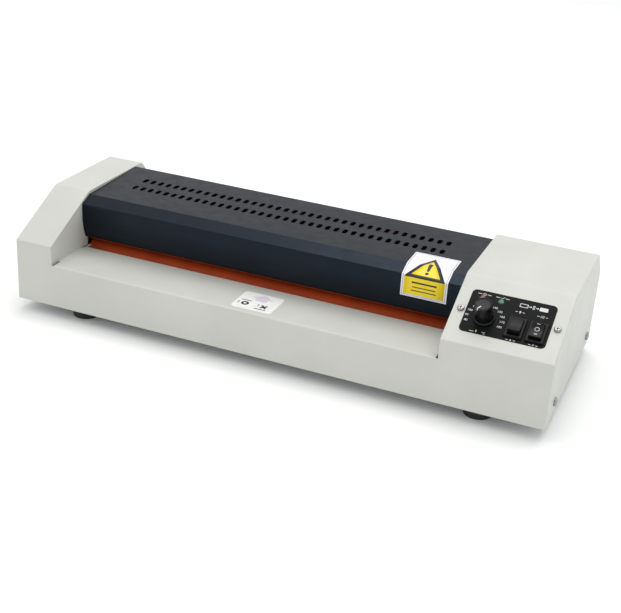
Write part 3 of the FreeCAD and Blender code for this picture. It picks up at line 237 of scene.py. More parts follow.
def steatite():
    # unglazed steatite ceramic
    material, tree, bsdf, vector = newMaterial("unglazedSteatite", "#dcd6c8", 0.7)
    drift(tree, bsdf, vector, 2, "#d2ccbd", "#e0dbcd")
    grain(tree, bsdf, vector, 0.4, 0.02)
    return material


def printedFilm(name, dark, light, roughness=0.38):
    # screen-printed polyester film: even colour, low sheen, faint pebble
    material, tree, bsdf, vector = newMaterial(name, light, roughness, IOR=1.57)
    drift(tree, bsdf, vector, 8, dark, light)
    grain(tree, bsdf, vector, 0.6, 0.006)
    return material


lampWindow = {"back": 3.5, "down": 2.0, "clear": 2.2, "fade": 6.0,  # mm from the lamp's box
              "tints": {"power_lamp": "#241216", "ready_lamp": "#06291e"}}


def windowedFilm():
    # black film over the slope, with two smoked windows that let a little lamp colour through:
    # all of it nearer to the lamp's face than clear, and none beyond fade
    w = lampWindow
    material, tree, bsdf, vector = newMaterial("smokedPrintedFilm", "#0b0c0e", 0.5, IOR=1.5,
                                               Specular_IOR_Level=0.1)
    ramp = drift(tree, bsdf, vector, 8, "#0a0b0d", "#0d0e10")
    shade = ramp.outputs["Color"]
    for lampNode, tint in w["tints"].items():
        low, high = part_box(lampNode)
        face = ((low[0] + high[0]) / 2, high[1] - w["back"] * mm, high[2] - w["down"] * mm)
        away = addNode(tree, "VectorMath", {"Vector": vector}, operation="DISTANCE")
        away.inputs[1].default_value = face
        near = addNode(tree, "MapRange", {"Value": away.outputs["Value"]}, interpolation_type="SMOOTHSTEP")
        near.inputs["From Min"].default_value = w["clear"] * mm
        near.inputs["From Max"].default_value = w["fade"] * mm
        near.inputs["To Min"].default_value = 1.0
        near.inputs["To Max"].default_value = 0.0
        mix = addNode(tree, "Mix", {"Factor": near.outputs["Result"]}, data_type="RGBA")
        tree.links.new(shade, mix.inputs[6])
        mix.inputs[7].default_value = linear(tint)
        shade = mix.outputs[2]
    tree.links.new(shade, bsdf.inputs["Base Color"])
    grain(tree, bsdf, vector, 0.6, 0.006)
    return material


def inkFilm(name, colour, roughness=0.45):
    # one layer of printing ink
    material, tree, bsdf, vector = newMaterial(name, colour, roughness)
    wear(tree, bsdf, vector, 1.5, roughness - 0.05, roughness + 0.05)
    return material


def lampLens(name, colour, glow):
    # tinted epoxy lens of an indicator lamp, with a faint glow from inside
    material, tree, bsdf, vector = newMaterial(name, colour, 0.12, IOR=1.54, Transmission_Weight=0.25,
                                               Emission_Color=linear(colour), Emission_Strength=glow)
    wear(tree, bsdf, vector, 2, 0.1, 0.16)
    return material


def boardLaminate():
    # green solder resist over glass laminate
    material, tree, bsdf, vector = newMaterial("solderResist", "#1f5a2c", 0.3, IOR=1.55)
    drift(tree, bsdf, vector, 4, "#1a4f26", "#246333")
    return material


finishes = {
    "casing_paint": powderCoatGrey(),
    "cover_paint": powderCoatBlack(),
    "zinc_plate": zincPlate(),
    "turned_steel": turnedSteel(),
    "screw_zinc": platedScrew("zincPlatedScrew", "#808285", "#a3a5a8", 0.32),
    "screw_nickel": platedScrew("nickelPlatedScrew", "#85847f", "#aeaca7", 0.2),
    "spring_wire": springWire(),
    "sintered_bronze": sinteredBronze(),
    "silicone_rubber": siliconeRubber(),
    "foot_rubber": mouldedRubber(),
    "gear_nylon": mouldedPlastic("mouldedNylon", "#cfc9b6", "#ddd8c7", 0.5),
    "guide_aluminium": sheetAluminium(),
    "motor_can": platedScrew("drawnSteelCan", "#83868a", "#a2a5a9", 0.36),
    "quartz_tube": quartzGlass(),
    "holder_ceramic": steatite(),
    "gland_nylon": mouldedPlastic("blackNylon", "#141416", "#1c1c1e", 0.5),
    "terminal_nylon": mouldedPlastic("terminalNylon", "#cbc6b6", "#d6d2c4", 0.5),
    "control_film": windowedFilm(),
    "warning_film": printedFilm("whitePrintedFilm", "#d6d5da", "#dddce1", 0.3),
    "tray_film": printedFilm("trayPrintedFilm", "#e2e3e1", "#eaebe9", 0.3),
    "knob_plastic": mouldedPlastic("knobAbs", "#08080a", "#0d0d0f", 0.26, 0.35, 0.006, 0.25),
    "switch_plastic": mouldedPlastic("switchNylon", "#09090b", "#0e0e10", 0.42, gloss=0.2),
    "rocker_plastic": mouldedPlastic("rockerPolycarbonate", "#0a0a0c", "#0e0e10", 0.34, 0.35, 0.006, 0.18),
    "blade_brass": platedScrew("stampedBrass", "#b09550", "#d0b56c", 0.3),
    "lamp_red": lampLens("redEpoxyLens", "#4a1014", 0.05),
    "lamp_green": lampLens("greenEpoxyLens", "#0e4a34", 0.08),
    "board_laminate": boardLaminate(),
    "relay_plastic": mouldedPlastic("relayCase", "#1c3a78", "#234488", 0.4),
}
slotOf = {part["node"]: part["material_slot"] for part in frame["record"]["subparts"]}
for name, node in nodes.items():
    node.data.materials.clear()
    node.data.materials.append(finishes[slotOf[name]])
whiteInk = inkFilm("whiteScreenInk", "#c6c6c6", 0.5)
blackInk = inkFilm("blackScreenInk", "#151414", 0.42)
yellowInk = inkFilm("yellowScreenInk", "#e3c911", 0.42)
lilacInk = inkFilm("lilacScreenInk", "#cac5ce", 0.5)
greyInk = inkFilm("greyScreenInk", "#77777f", 0.5)
inks = [whiteInk, blackInk, yellowInk, lilacInk, greyInk]
print("materials made:", len(finishes) + len(inks))


# the control slope: a point x across, v up the slope and w off the sheet,
# measured from the label's front left corner

slope = {"rise": 33.7, "run": 65.8, "film": 0.25}
slopeTilt = math.atan2(slope["rise"], slope["run"])
labelLow = np.array(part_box("control_label")[0])
slopeStart = labelLow + np.array([0, slope["film"] * mm * math.sin(slopeTilt), 0])
slopeAxes = np.array([[1, 0, 0], [0, math.cos(slopeTilt), math.sin(slopeTilt)],
                      [0, -math.sin(slopeTilt), math.cos(slopeTilt)]])


def onSlope(points):  # rows of (x, v, w) in mm to metres in the frame
    return slopeStart + np.asarray(points, float) * mm @ slopeAxes


def onTray(points):  # rows of (x, y, height) in mm from the tray film's middle
    low, high = (np.array(corner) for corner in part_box("tray_label"))
    middle = np.array([(low[0] + high[0]) / 2, (low[1] + high[1]) / 2, high[2]])
    return middle + np.asarray(points, float) * mm


# mesh helpers

def addPiece(name, mesh, material, body, replaced=(), smooth=35):
    mesh.materials.clear()
    mesh.materials.append(material)
    piece = bpy.data.objects.new(name, mesh)
    bpy.context.scene.collection.objects.link(piece)
    mesh.shade_smooth()
    mesh.set_sharp_from_angle(angle=math.radians(smooth))
    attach(piece, body)
    if replaced:
        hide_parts(*replaced)
    return piece


def sealed(mesh):  # merges doubles and turns all faces outwards
    work = bmesh.new()
    work.from_mesh(mesh)
    bmesh.ops.remove_doubles(work, verts=work.verts, dist=1e-7)
    bmesh.ops.dissolve_degenerate(work, edges=work.edges, dist=1e-8)
    bmesh.ops.recalc_face_normals(work, faces=work.faces)
    work.to_mesh(mesh)
    work.free()
    return mesh


def gridMesh(name, points, wrapColumns=False):
    # quads between neighbouring rows and columns of a rows x columns x 3 array
    rows, columns = points.shape[:2]
    index = np.arange(rows * columns).reshape(rows, columns)
    if wrapColumns:
        index = np.concatenate([index, index[:, :1]], axis=1)
    quads = np.stack([index[:-1, :-1], index[:-1, 1:], index[1:, 1:], index[1:, :-1]], axis=-1).reshape(-1, 4)
    mesh = bpy.data.meshes.new(name)
    mesh.from_pydata(points.reshape(-1, 3).tolist(), [], quads.tolist())
    return mesh


def turned(name, profile, steps, place, ripple=None):
    # a profile of (radius, height) in mm carried round the height axis,
    # its radius scaled by ripple(angle, height)
    profile = np.array(profile, float)
    angle = np.linspace(0, 2 * math.pi, steps, endpoint=False)
    radius = profile[:, :1] * np.ones(steps)
    height = profile[:, 1:] * np.ones(steps)
    if ripple:
        radius = radius * ripple(angle[None, :], height)
    points = np.stack([radius * np.cos(angle), radius * np.sin(angle), height], axis=-1)
    return sealed(gridMesh(name, place(points.reshape(-1, 3)).reshape(points.shape), wrapColumns=True))


# flat ink: closed loops in mm, filled as one flat curve and lifted onto a surface

def bar(x, y, length, width, turn=0.0):  # rectangle about its middle, turned by degrees
    corner = np.array([[-length, -width], [length, -width], [length, width], [-length, width]]) / 2
    return spun(corner, turn) + (x, y)


def spun(loop, degrees):
    a = math.radians(degrees)
    return np.asarray(loop, float) @ np.array([[math.cos(a), math.sin(a)], [-math.sin(a), math.cos(a)]])


def arcBand(x, y, radius, width, start=0.0, end=360.0, steps=40):
    # out along the outer arc and back along the inner one
    a = np.radians(np.linspace(start, end, steps))
    outer = np.stack([np.cos(a), np.sin(a)], axis=1) * (radius + width / 2)
    inner = np.stack([np.cos(a), np.sin(a)], axis=1)[::-1] * (radius - width / 2)
    return np.concatenate([outer, inner]) + (x, y)


def ring(x, y, radius, width, steps=48):  # two whole circles, one inside the other
    a = np.linspace(0, 2 * math.pi, steps, endpoint=False)
    circle = np.stack([np.cos(a), np.sin(a)], axis=1)
    return [circle * (radius + width / 2) + (x, y), circle * (radius - width / 2) + (x, y)]


def stroke(points, width):
    # a line of even width: offset to both sides along its own normals
    points = np.asarray(points, float)
    along = np.gradient(points, axis=0)
    along /= np.linalg.norm(along, axis=1)[:, None]
    side = np.stack([-along[:, 1], along[:, 0]], axis=1) * width / 2
    return np.concatenate([points + side, (points - side)[::-1]])


def crossLoop(x, y, reach, width):  # two crossed bars as one outline, turned to stand on its points
    a = width / 2
    arm = np.array([[reach, -a], [reach, a], [a, a]])
    return np.concatenate([spun(arm, 90 * k + 45) for k in range(4)]) + (x, y)


def softBox(x, y, length, width, corner, steps=6):
    # rectangle with round corners
    a = np.radians(np.linspace(0, 90, steps))
    arc = np.stack([np.cos(a), np.sin(a)], axis=1) * corner
    centres = np.array([[1, 1], [-1, 1], [-1, -1], [1, -1]]) * (np.array([length, width]) / 2 - corner)
    return np.concatenate([spun(arc, 90 * k) + centres[k] for k in range(4)]) + (x, y)


def meshOf(data):  # a curve or text turned to a mesh
    carrier = bpy.data.objects.new("inkCarrier", data)
    bpy.context.scene.collection.objects.link(carrier)
    bpy.context.view_layer.update()
    mesh = bpy.data.meshes.new_from_object(carrier.evaluated_get(bpy.context.evaluated_depsgraph_get()))
    bpy.data.objects.remove(carrier)
    return mesh


def lay(mesh, name, lift, place):  # millimetres on the flat to the surface; the lowest face sits at lift
    points = np.empty(len(mesh.vertices) * 3)
    mesh.vertices.foreach_get("co", points)
    points = points.reshape(-1, 3)
    points[:, 2] += lift - points[:, 2].min()
    mesh.vertices.foreach_set("co", place(points).ravel())
    mesh.name = name
    return sealed(mesh)


def inkMesh(name, loops, place, lift, thick=0.03):
    data = bpy.data.curves.new(name, "CURVE")
    data.dimensions = "2D"
    data.fill_mode = "BOTH"
    data.extrude = thick / 2
    for loop in loops:
        spline = data.splines.new("POLY")
        spline.points.add(len(loop) - 1)
        flat = np.column_stack([loop, np.zeros(len(loop)), np.ones(len(loop))])
        spline.points.foreach_set("co", flat.ravel())
        spline.use_cyclic_u = True
    return lay(meshOf(data), name, lift, place)


def digitsMesh(name, words, size, place, lift, thick=0.03):
    # each word is (text, x, y, degrees), centred on its place
    meshes = []
    for text, x, y, turn in words:
        data = bpy.data.curves.new(name, "FONT")
        data.body = text
        data.size = size
        data.align_x = "CENTER"
        data.align_y = "CENTER"
        data.extrude = thick / 2
        data.offset = 0.02
        data.resolution_u = 3
        mesh = meshOf(data)
        points = np.empty(len(mesh.vertices) * 3)
        mesh.vertices.foreach_get("co", points)
        points = points.reshape(-1, 3)
        points[:, :2] = spun(points[:, :2], turn) + (x, y)
        mesh.vertices.foreach_set("co", points.ravel())
        meshes.append(mesh)
    work = bmesh.new()
    for mesh in meshes:
        work.from_mesh(mesh)
    joined = bpy.data.meshes.new(name)
    work.to_mesh(joined)
    work.free()
    return lay(joined, name, lift, place)


# control panel print

panelPrint = {"dial": (17.0, 16.5), "scaleRadius": 14.2, "scaleStretch": 1.04, "firstAngle": 200.0,
              "stepAngle": 22.0, "numbers": [str(value) for value in range(80, 190, 10)],
              "digitSize": 2.9, "unit": (3.6, 1.9), "lowEnd": -2.6, "lowBox": (2.7, 0.9, 2.2, 0.44),
              "lowBar": (-3.6, 1.9, 3.6), "lampMarks": (10.5, 25.6), "lampMarkY": 41.2,
              "lampBar": (4.0, 3.4), "title": (52.3, 38.3), "titleSize": 3.0, "markSize": 2.6,
              "switchX": (43.0, 61.4), "aboveY": 31.0, "belowY": 1.4, "pen": 0.5, "switchBar": 1.8,
              "feedReach": (2.9, 2.9), "heatReach": (3.4, 2.9), "arrowAbove": (2.8, 2.2),
              "arrowBelow": (1.9, 2.2), "coldRise": 0.1, "coldSize": 2.0}


def powerMark(x, y, size):
    return [arcBand(x, y, size * 0.42, size * 0.15, -230, 50),
            bar(x, y + size * 0.28, size * 0.15, size * 0.5)]


def readyMark(x, y, size):
    tick = np.array([[-0.5, 0.0], [-0.15, -0.36], [0.55, 0.42]]) * size + (x, y)
    return [stroke(tick, size * 0.18)]


def arrowMark(x, y, length, width, turn):
    head = np.array([[0.5, 0], [0.05, 0.5], [0.05, 0.16], [-0.5, 0.16],
                     [-0.5, -0.16], [0.05, -0.16], [0.05, -0.5]])
    return [spun(head * (length, width), turn) + (x, y)]


def heatMark(x, y, size):
    rise = np.linspace(-0.5, 0.5, 13)
    wave = 0.12 * np.sin(rise * 2 * math.pi)
    line = np.stack([wave, rise], axis=1) * size
    return [stroke(line + (x + step * size, y), size * 0.13) for step in (-0.42, 0, 0.42)]


def coldMark(x, y, size):
    star = []
    for turn in range(0, 360, 60):
        star.append(spun(stroke(np.array([[0.1, 0], [0.52, 0]]) * size, size * 0.11), turn + 30) + (x, y))
    return star


def pouchMark(x, y, size):
    # a sheet going through a pair of rollers and coming out sealed
    sheet = [softBox(x - 2.7 * size, y, 2.3 * size, 1.25 * size, 0.15 * size),
             softBox(x - 2.7 * size, y, 1.9 * size, 0.85 * size, 0.08 * size)]
    rollers = ring(x, y + 0.36 * size, 0.24 * size, 0.16 * size)
    rollers += ring(x, y - 0.36 * size, 0.24 * size, 0.16 * size)
    arrows = arrowMark(x - 0.95 * size, y, size * 0.85, size * 0.75, 0)
    arrows += arrowMark(x + 1.0 * size, y, size * 0.85, size * 0.75, 0)
    return sheet + rollers + arrows + [softBox(x + 2.75 * size, y, 2.3 * size, 1.25 * size, 0.15 * size)]


def makePanelPrint():
    p = panelPrint
    lift = slope["film"]
    angles = np.radians(p["firstAngle"] - p["stepAngle"] * np.arange(len(p["numbers"])))
    x = p["dial"][0] + p["scaleRadius"] * p["scaleStretch"] * np.cos(angles)
    y = p["dial"][1] + p["scaleRadius"] * np.sin(angles)
    words = [(text, float(a), float(b), 0.0) for text, a, b in zip(p["numbers"], x, y)]
    words.append(("°C", p["dial"][0] + p["unit"][0], p["unit"][1], 0.0))
    numbers = digitsMesh("dialNumbers", words, p["digitSize"], onSlope, lift)
    addPiece("dialNumbers", numbers, whiteInk, "housing")
    # marks over the lamps, each between two bars
    left, right = p["lampMarks"]
    markY = p["lampMarkY"]
    loops = powerMark(left, markY, p["markSize"]) + readyMark(right, markY, p["markSize"])
    reach, length = p["lampBar"]
    for middle in (left, right):
        loops += [bar(middle + side * reach, markY, length, p["pen"]) for side in (-1, 1)]
    loops += pouchMark(*p["title"], p["titleSize"])
    # marks above and below each switch
    feed, heat = p["switchX"]
    heights = (p["aboveY"], p["belowY"])
    loops += arrowMark(feed, p["aboveY"], *p["arrowAbove"], 90)
    loops += arrowMark(feed, p["belowY"], *p["arrowBelow"], -90)
    for side in (-1, 1):
        loops += [bar(feed + side * reach, height, p["switchBar"], p["pen"])
                  for reach, height in zip(p["feedReach"], heights)]
    loops += heatMark(heat, p["aboveY"], p["markSize"])
    loops += coldMark(heat, p["belowY"] + p["coldRise"], p["coldSize"])
    for side in (-1, 1):
        loops += [bar(heat + side * reach, height, p["switchBar"], p["pen"])
                  for reach, height in zip(p["heatReach"], heights)]
    # mark at the dial's low end
    low = p["dial"][0] + p["lowEnd"]
    away, height, length = p["lowBar"]
    loops += [softBox(low, *p["lowBox"]), bar(low + away, height, length, p["pen"])]
    marks = inkMesh("panelMarks", loops, onSlope, lift)
    addPiece("panelMarks", marks, whiteInk, "housing")


# temperature knob

gripKnob = {"centre": (17.0, 17.0), "height": 19.0, "skirt": 8.85, "base": 7.85, "crown": 6.8, "ribs": 24,
            "ribDepth": 0.018, "steps": 144, "restAngle": 240.0, "lineWidth": 1.1, "linePast": 0.06,
            "lineOver": 0.05, "lineThick": 0.12}


def makeKnob():
    k = gripKnob
    top, skirt, base, crown = k["height"], k["skirt"], k["base"], k["crown"]
    # radius and height: under the skirt and round its edge, up the grip and over the dished crown
    profile = np.array([(0, 0.9), (skirt - 0.5, 0.85), (skirt, 1.1), (skirt, 1.9), (skirt - 0.4, 2.5),
                        (base + 0.15, 2.75), (base, 3.4), (base - 0.25, 8), (crown + 0.35, 13),
                        (crown + 0.06, top - 1.6), (crown - 0.05, top - 0.75), (crown - 0.3, top - 0.25),
                        (crown - 0.6, top - 0.06), (crown - 0.85, top - 0.1), (crown - 1.1, top - 0.42),
                        (crown - 1.5, top - 0.55), (3.0, top - 0.66), (0, top - 0.7)])

    def ribs(angle, height):
        # shallow grooves round the grip that fade out at the skirt and under the crown
        fade = np.clip((height - 3.4) / 1.5, 0, 1) * np.clip((top - 1.8 - height) / 1.5, 0, 1)
        return 1 - k["ribDepth"] * fade * (0.5 + 0.5 * np.cos(k["ribs"] * angle)) ** 3

    last = len(profile) - 1
    dense = np.linspace(0, last, last * 4 + 1)  # four points to each of the profile's steps
    fine = np.column_stack([np.interp(dense, np.arange(last + 1), profile[:, column]) for column in (0, 1)])

    def seat(points):
        return onSlope(points + np.array([k["centre"][0], k["centre"][1], 0]))
    mesh = turned("gripKnob", fine, k["steps"], seat, ribs)
    addPiece("gripKnob", mesh, finishes["knob_plastic"], "control_knob",
             ("temperature_knob",))
    # white line let into the crown and down the side: a ribbon along that path
    path = np.array([(3.0, top - 0.62), (crown - 1.2, top - 0.5), (crown - 0.8, top - 0.06),
                     (crown - 0.3, top - 0.2), (crown + 0.02, top - 0.8), (crown + 0.12, top - 2.6)])
    across = np.linspace(-0.5, 0.5, 5) * k["lineWidth"]
    step = np.linspace(0, len(path) - 1, 31)
    reach = np.interp(step, np.arange(len(path)), path[:, 0])[:, None] + k["linePast"]
    height = np.interp(step, np.arange(len(path)), path[:, 1])[:, None] + k["lineOver"]
    a = math.radians(k["restAngle"])
    points = np.stack([reach * math.cos(a) - across * math.sin(a) + 0 * height,
                       reach * math.sin(a) + across * math.cos(a) + 0 * height, height + 0 * across], axis=-1)
    ribbon = gridMesh("knobLine", seat(points.reshape(-1, 3)).reshape(points.shape))
    piece = addPiece("knobLine", ribbon, whiteInk, "control_knob")
    thicken(piece, k["lineThick"])


def thicken(piece, thickMm):  # gives a sheet its thickness
    solidify = piece.modifiers.new("thickness", "SOLIDIFY")
    solidify.thickness = thickMm * mm
    solidify.offset = -1.0


# rockers

rocker = {"width": 10.2, "length": 14.8, "middle": 4.0, "rise": 1.2, "side": 4.0, "keel": 6.5,
          "keelStep": 1.6, "endInset": 0.4, "pivotDrop": 1.0, "round": 0.45, "centreY": 14.0,
          "centres": {"feed_rocker": 43.7, "heat_rocker": 61.1},
          "tilts": {"feed_rocker": -9.0, "heat_rocker": 0.0}, "heatRing": (0, 1.0, 1.75, 0.42),
          "heatBars": [(0, 5.9, 2.8, 0.42), (0, -3.6, 2.6, 0.4), (0, -4.6, 2.6, 0.4)], "inkLift": -0.01}


def rockerPlace(name, tilt):
    r = rocker
    a = math.radians(tilt)

    def place(points):  # points about the pivot, turned by the tilt, then set on the slope
        points = np.asarray(points, float)
        y = points[:, 1] * math.cos(a) - points[:, 2] * math.sin(a)
        z = points[:, 1] * math.sin(a) + points[:, 2] * math.cos(a)
        seated = [points[:, 0] + r["centres"][name], y + r["centreY"], z - r["pivotDrop"]]
        return onSlope(np.column_stack(seated))
    return place


def dish(y):
    # height of the rocker's hollow top over its pivot: it rises towards both ends with the distance
    # from the middle, as a share of half the length, to the power 1.6
    r = rocker
    return r["middle"] + r["pivotDrop"] + r["rise"] * (2 * np.abs(y) / r["length"]) ** 1.6


def makeRockers():
    r = rocker
    for name, tilt in r["tilts"].items():
        half = r["length"] / 2
        y = np.linspace(-half, half, 25)
        top = np.column_stack([y, dish(y)])
        end, step = half - r["endInset"], -r["side"] - r["keelStep"]
        under = np.array([(end, -r["side"]), (half * 0.5, step), (0, -r["keel"]),
                          (-half * 0.5, step), (-end, -r["side"])])
        loop = np.concatenate([top, under])
        x = np.array([-0.5, 0.5]) * r["width"]
        rings = np.stack([np.column_stack([np.full(len(loop), side), loop]) for side in x])
        place = rockerPlace(name, tilt)
        mesh = gridMesh(name, place(rings.reshape(-1, 3)).reshape(rings.shape), wrapColumns=True)
        work = bmesh.new()
        work.from_mesh(mesh)
        work.verts.ensure_lookup_table()
        count = len(loop)
        work.faces.new([work.verts[i] for i in range(count)])
        work.faces.new([work.verts[count + i] for i in range(count)])
        bmesh.ops.recalc_face_normals(work, faces=work.faces)
        work.to_mesh(mesh)
        work.free()
        piece = addPiece(name + "Cap", mesh, finishes["rocker_plastic"], name, (name,), 50)
        edge = piece.modifiers.new("softEdge", "BEVEL")
        edge.width = r["round"] * mm
        edge.segments = 3
        edge.limit_method = "ANGLE"
        edge.angle_limit = math.radians(40)
        edge.harden_normals = False
    marks = ring(*r["heatRing"]) + [bar(*size) for size in r["heatBars"]]
    place = rockerPlace("heat_rocker", r["tilts"]["heat_rocker"])

    def onDish(points):
        points = np.asarray(points, float)
        return place(np.column_stack([points[:, 0], points[:, 1], points[:, 2] + dish(points[:, 1])]))
    ink = inkMesh("heatMarks", marks, onDish, r["inkLift"])
    addPiece("heatMarks", ink, whiteInk, "heat_rocker")


# pressure springs over the upper rollers' bearings

pressureSpring = {"radius": 4.0, "wire": 0.7, "turns": 5.0, "lift": 0.8, "seatGap": 0.05,
                  "steps": 239, "sides": 10}


def makeSprings():
    # round wire carried along a helix and closed at both ends, as tall as the spring node's box
    s = pressureSpring
    along = np.concatenate([[0], np.linspace(0, 1, s["steps"]), [1]])[:, None]
    thick = np.where((np.arange(len(along)) % (len(along) - 1)) > 0, s["wire"], 0.0)[:, None]
    around = np.linspace(0, 2 * math.pi, s["sides"], endpoint=False)[None, :]
    turn = along * 2 * math.pi * s["turns"]
    outwards = s["radius"] + thick * np.cos(around)
    reach = s["radius"] + s["wire"]
    for pair in ("hot", "pull"):
        node = pair + "_springs"
        low, high = (np.array(corner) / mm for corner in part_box(node))
        rise = low[2] + s["wire"] + along * (high[2] - low[2] - 2 * s["wire"]) + thick * np.sin(around)
        middle = (low[1] + high[1]) / 2
        work = bmesh.new()
        for x in (low[0] + reach, high[0] - reach):
            points = np.stack([x + outwards * np.cos(turn), middle + outwards * np.sin(turn), rise], axis=-1)
            work.from_mesh(gridMesh(pair + "Coil", points * mm, wrapColumns=True))
        mesh = bpy.data.meshes.new(pair + "SpringCoils")
        work.to_mesh(mesh)
        work.free()
        piece = addPiece(pair + "SpringCoils", sealed(mesh), finishes["spring_wire"], "housing",
                         (node,))
        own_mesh(piece)


# film round the cover's fold

coverLine = {"lip": (56.8, 50.0), "nose": (52.5, 72.0), "band": (52.5, 83.7), "crown": (65.6, 89.4),
             "rear": (151.5, 91.7), "noseRadius": 56.0, "bend": 1.6, "film": 0.2, "probe": 0.15}


def coverProfile():
    # the cover's outer line in casing mm: a slight arc up its front, then straight runs joined by small bends
    c = coverLine
    lip, nose = np.array(c["lip"]), np.array(c["nose"])
    chord = nose - lip
    length = np.linalg.norm(chord)
    sag = c["noseRadius"] - math.sqrt(c["noseRadius"] ** 2 - (length / 2) ** 2)
    t = np.linspace(0, 1, 40)[:, None]
    out = np.array([-chord[1], chord[0]]) / length
    front = lip + chord * t + out * sag * 4 * t * (1 - t)
    line = [front]
    corners = [nose, np.array(c["band"]), np.array(c["crown"]), np.array(c["rear"])]
    for before, here, after in zip(corners, corners[1:], corners[2:]):
        to = (before - here) / np.linalg.norm(before - here)
        away = (after - here) / np.linalg.norm(after - here)
        half = math.acos(np.clip(to @ away, -1, 1)) / 2
        reach = c["bend"] / math.tan(half)
        centre = here + (to + away) / np.linalg.norm(to + away) * c["bend"] / math.sin(half)
        start, end = here + to * reach - centre, here + away * reach - centre
        first, last = (math.atan2(v[1], v[0]) for v in (start, end))
        angle = np.linspace(first, first + (last - first + math.pi) % (2 * math.pi) - math.pi, 12)
        line.append(centre + c["bend"] * np.stack([np.cos(angle), np.sin(angle)], axis=1))
    line.append(corners[-1][None, :])
    return np.concatenate(line)


profile = coverProfile()
gaps = np.linalg.norm(np.diff(profile, axis=0), axis=1)
keptPoints = np.concatenate([[True], gaps > 1e-6])
profile = profile[keptPoints]
runLength = np.concatenate([[0], np.cumsum(np.linalg.norm(np.diff(profile, axis=0), axis=1))])
filmLow = np.array(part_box("warning_label")[0]) / mm
filmHigh = np.array(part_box("warning_label")[1]) / mm
coverShift = (-95.5, 12.0)  # casing millimetres to the frame's y and z
crownIndex = 60  # a point in the crown's bend: heights are read before it and depths after it
heightAlong = profile[:, 1] + coverShift[1]
filmStart = float(np.interp(filmLow[2], heightAlong[:crownIndex], runLength[:crownIndex]))
filmEnd = float(np.interp(filmHigh[1] - coverShift[0], profile[crownIndex:, 0], runLength[crownIndex:]))
filmRun = filmEnd - filmStart


def onFold(points):
    # (x from the film's left edge, distance along the fold from its lower edge, lift) to metres in the frame
    points = np.asarray(points, float)
    run = points[:, 1] + filmStart
    ahead, behind = run + coverLine["probe"], run - coverLine["probe"]
    y = np.interp(run, runLength, profile[:, 0]) + coverShift[0]
    z = np.interp(run, runLength, profile[:, 1]) + coverShift[1]
    dy = np.interp(ahead, runLength, profile[:, 0]) - np.interp(behind, runLength, profile[:, 0])
    dz = np.interp(ahead, runLength, profile[:, 1]) - np.interp(behind, runLength, profile[:, 1])
    size = np.hypot(dy, dz)
    lift = points[:, 2] + coverLine["film"]
    return np.column_stack([filmLow[0] + points[:, 0], y - dz / size * lift, z + dy / size * lift]) * mm


def foldPatch(name, low, high, left, right, lift, material, thick=0.03):
    # ink between two edges left(run) and right(run), bent round the fold with the film,
    # with three rows to a millimetre
    run = np.linspace(low, high, max(8, int((high - low) * 3)))[:, None]
    share = np.linspace(0, 1, 5)[None, :]
    x = left(run) * (1 - share) + right(run) * share
    points = np.stack([x, run + 0 * share, np.full(x.shape, lift)], axis=-1)
    mesh = gridMesh(name, onFold(points.reshape(-1, 3)).reshape(points.shape))
    piece = addPiece(name, mesh, material, "housing", smooth=60)
    thicken(piece, thick)


warningPrint = {"margin": 2.5, "boxLow": 2.5, "boxHigh": 18.2, "triangleLow": 18.2, "triangleHigh": 49.5,
                "border": 3.0, "tipShare": 1.02, "lineInset": 1.2, "line": 0.4,
                "bars": [(13.8, 22.0, 1.5), (9.6, 20.5, 0.9), (6.4, 22.5, 0.9)],
                "stem": (27.2, 38.0, 1.1, 0.07), "dot": (24.5, 1.6),
                "lift": {"edge": 0.015, "under": 0.02, "over": 0.04, "mark": 0.06}}


def makeWarningPrint():
    w = warningPrint
    lift = w["lift"]
    width = filmHigh[0] - filmLow[0]
    middle = width / 2
    edge = w["margin"]

    def level(x):  # an edge at one x all the way up
        return lambda run: x + 0 * run

    def sideOf(inset, sign):
        # sloping side of the triangle, moved in by inset
        low, high = w["triangleLow"], w["triangleHigh"]
        half = middle - edge
        lean = math.hypot(half, high - low) / (high - low)
        return lambda run: middle + sign * np.maximum(half * (high - run) / (high - low) - inset * lean, 0.05)

    def stemSide(sign):  # an edge that leans out with height
        return lambda run: middle + sign * (stemHalf + stemLean * (run - stemLow))

    def dotSide(sign):  # half a circle: the root of the radius squared less the height squared
        return lambda run: middle + sign * np.sqrt(np.maximum(radius ** 2 - (run - centre) ** 2, 0.01))

    foldPatch("noticeBox", w["boxLow"], w["boxHigh"], level(edge), level(width - edge),
              lift["under"], yellowInk)
    for number, (run, length, thick) in enumerate(w["bars"]):
        foldPatch("noticeLine%d" % number, run - thick / 2, run + thick / 2,
                  level(middle - length / 2), level(middle + length / 2), lift["over"], blackInk)
    foldPatch("noticeFrame", w["triangleLow"], w["triangleHigh"], sideOf(0, -1), sideOf(0, 1),
              lift["under"], blackInk)
    inset = w["border"]
    tall = w["triangleHigh"] - w["triangleLow"]
    tip = w["triangleHigh"] - inset * math.hypot(middle - edge, tall) / (middle - edge) * w["tipShare"]
    foldPatch("noticeField", w["triangleLow"] + inset, tip, sideOf(inset, -1), sideOf(inset, 1),
              lift["over"], yellowInk)
    stemLow, stemHigh, stemHalf, stemLean = w["stem"]
    foldPatch("noticeStem", stemLow, stemHigh, stemSide(-1), stemSide(1), lift["mark"], blackInk)
    centre, radius = w["dot"]
    foldPatch("noticeDot", centre - radius, centre + radius, dotSide(-1), dotSide(1), lift["mark"], blackInk)
    # thin grey frame line near the film's edge
    near, far, top = w["lineInset"], width - w["lineInset"], filmRun - w["lineInset"]
    pen = w["line"]
    edges = {"Left": (near, top, near, near + pen), "Right": (near, top, far - pen, far),
             "Low": (near, near + pen, near, far), "High": (top - pen, top, near, far)}
    for name, (low, high, left, right) in edges.items():
        foldPatch("noticeEdge" + name, low, high, level(left), level(right), lift["edge"], greyInk)


# film on the tray

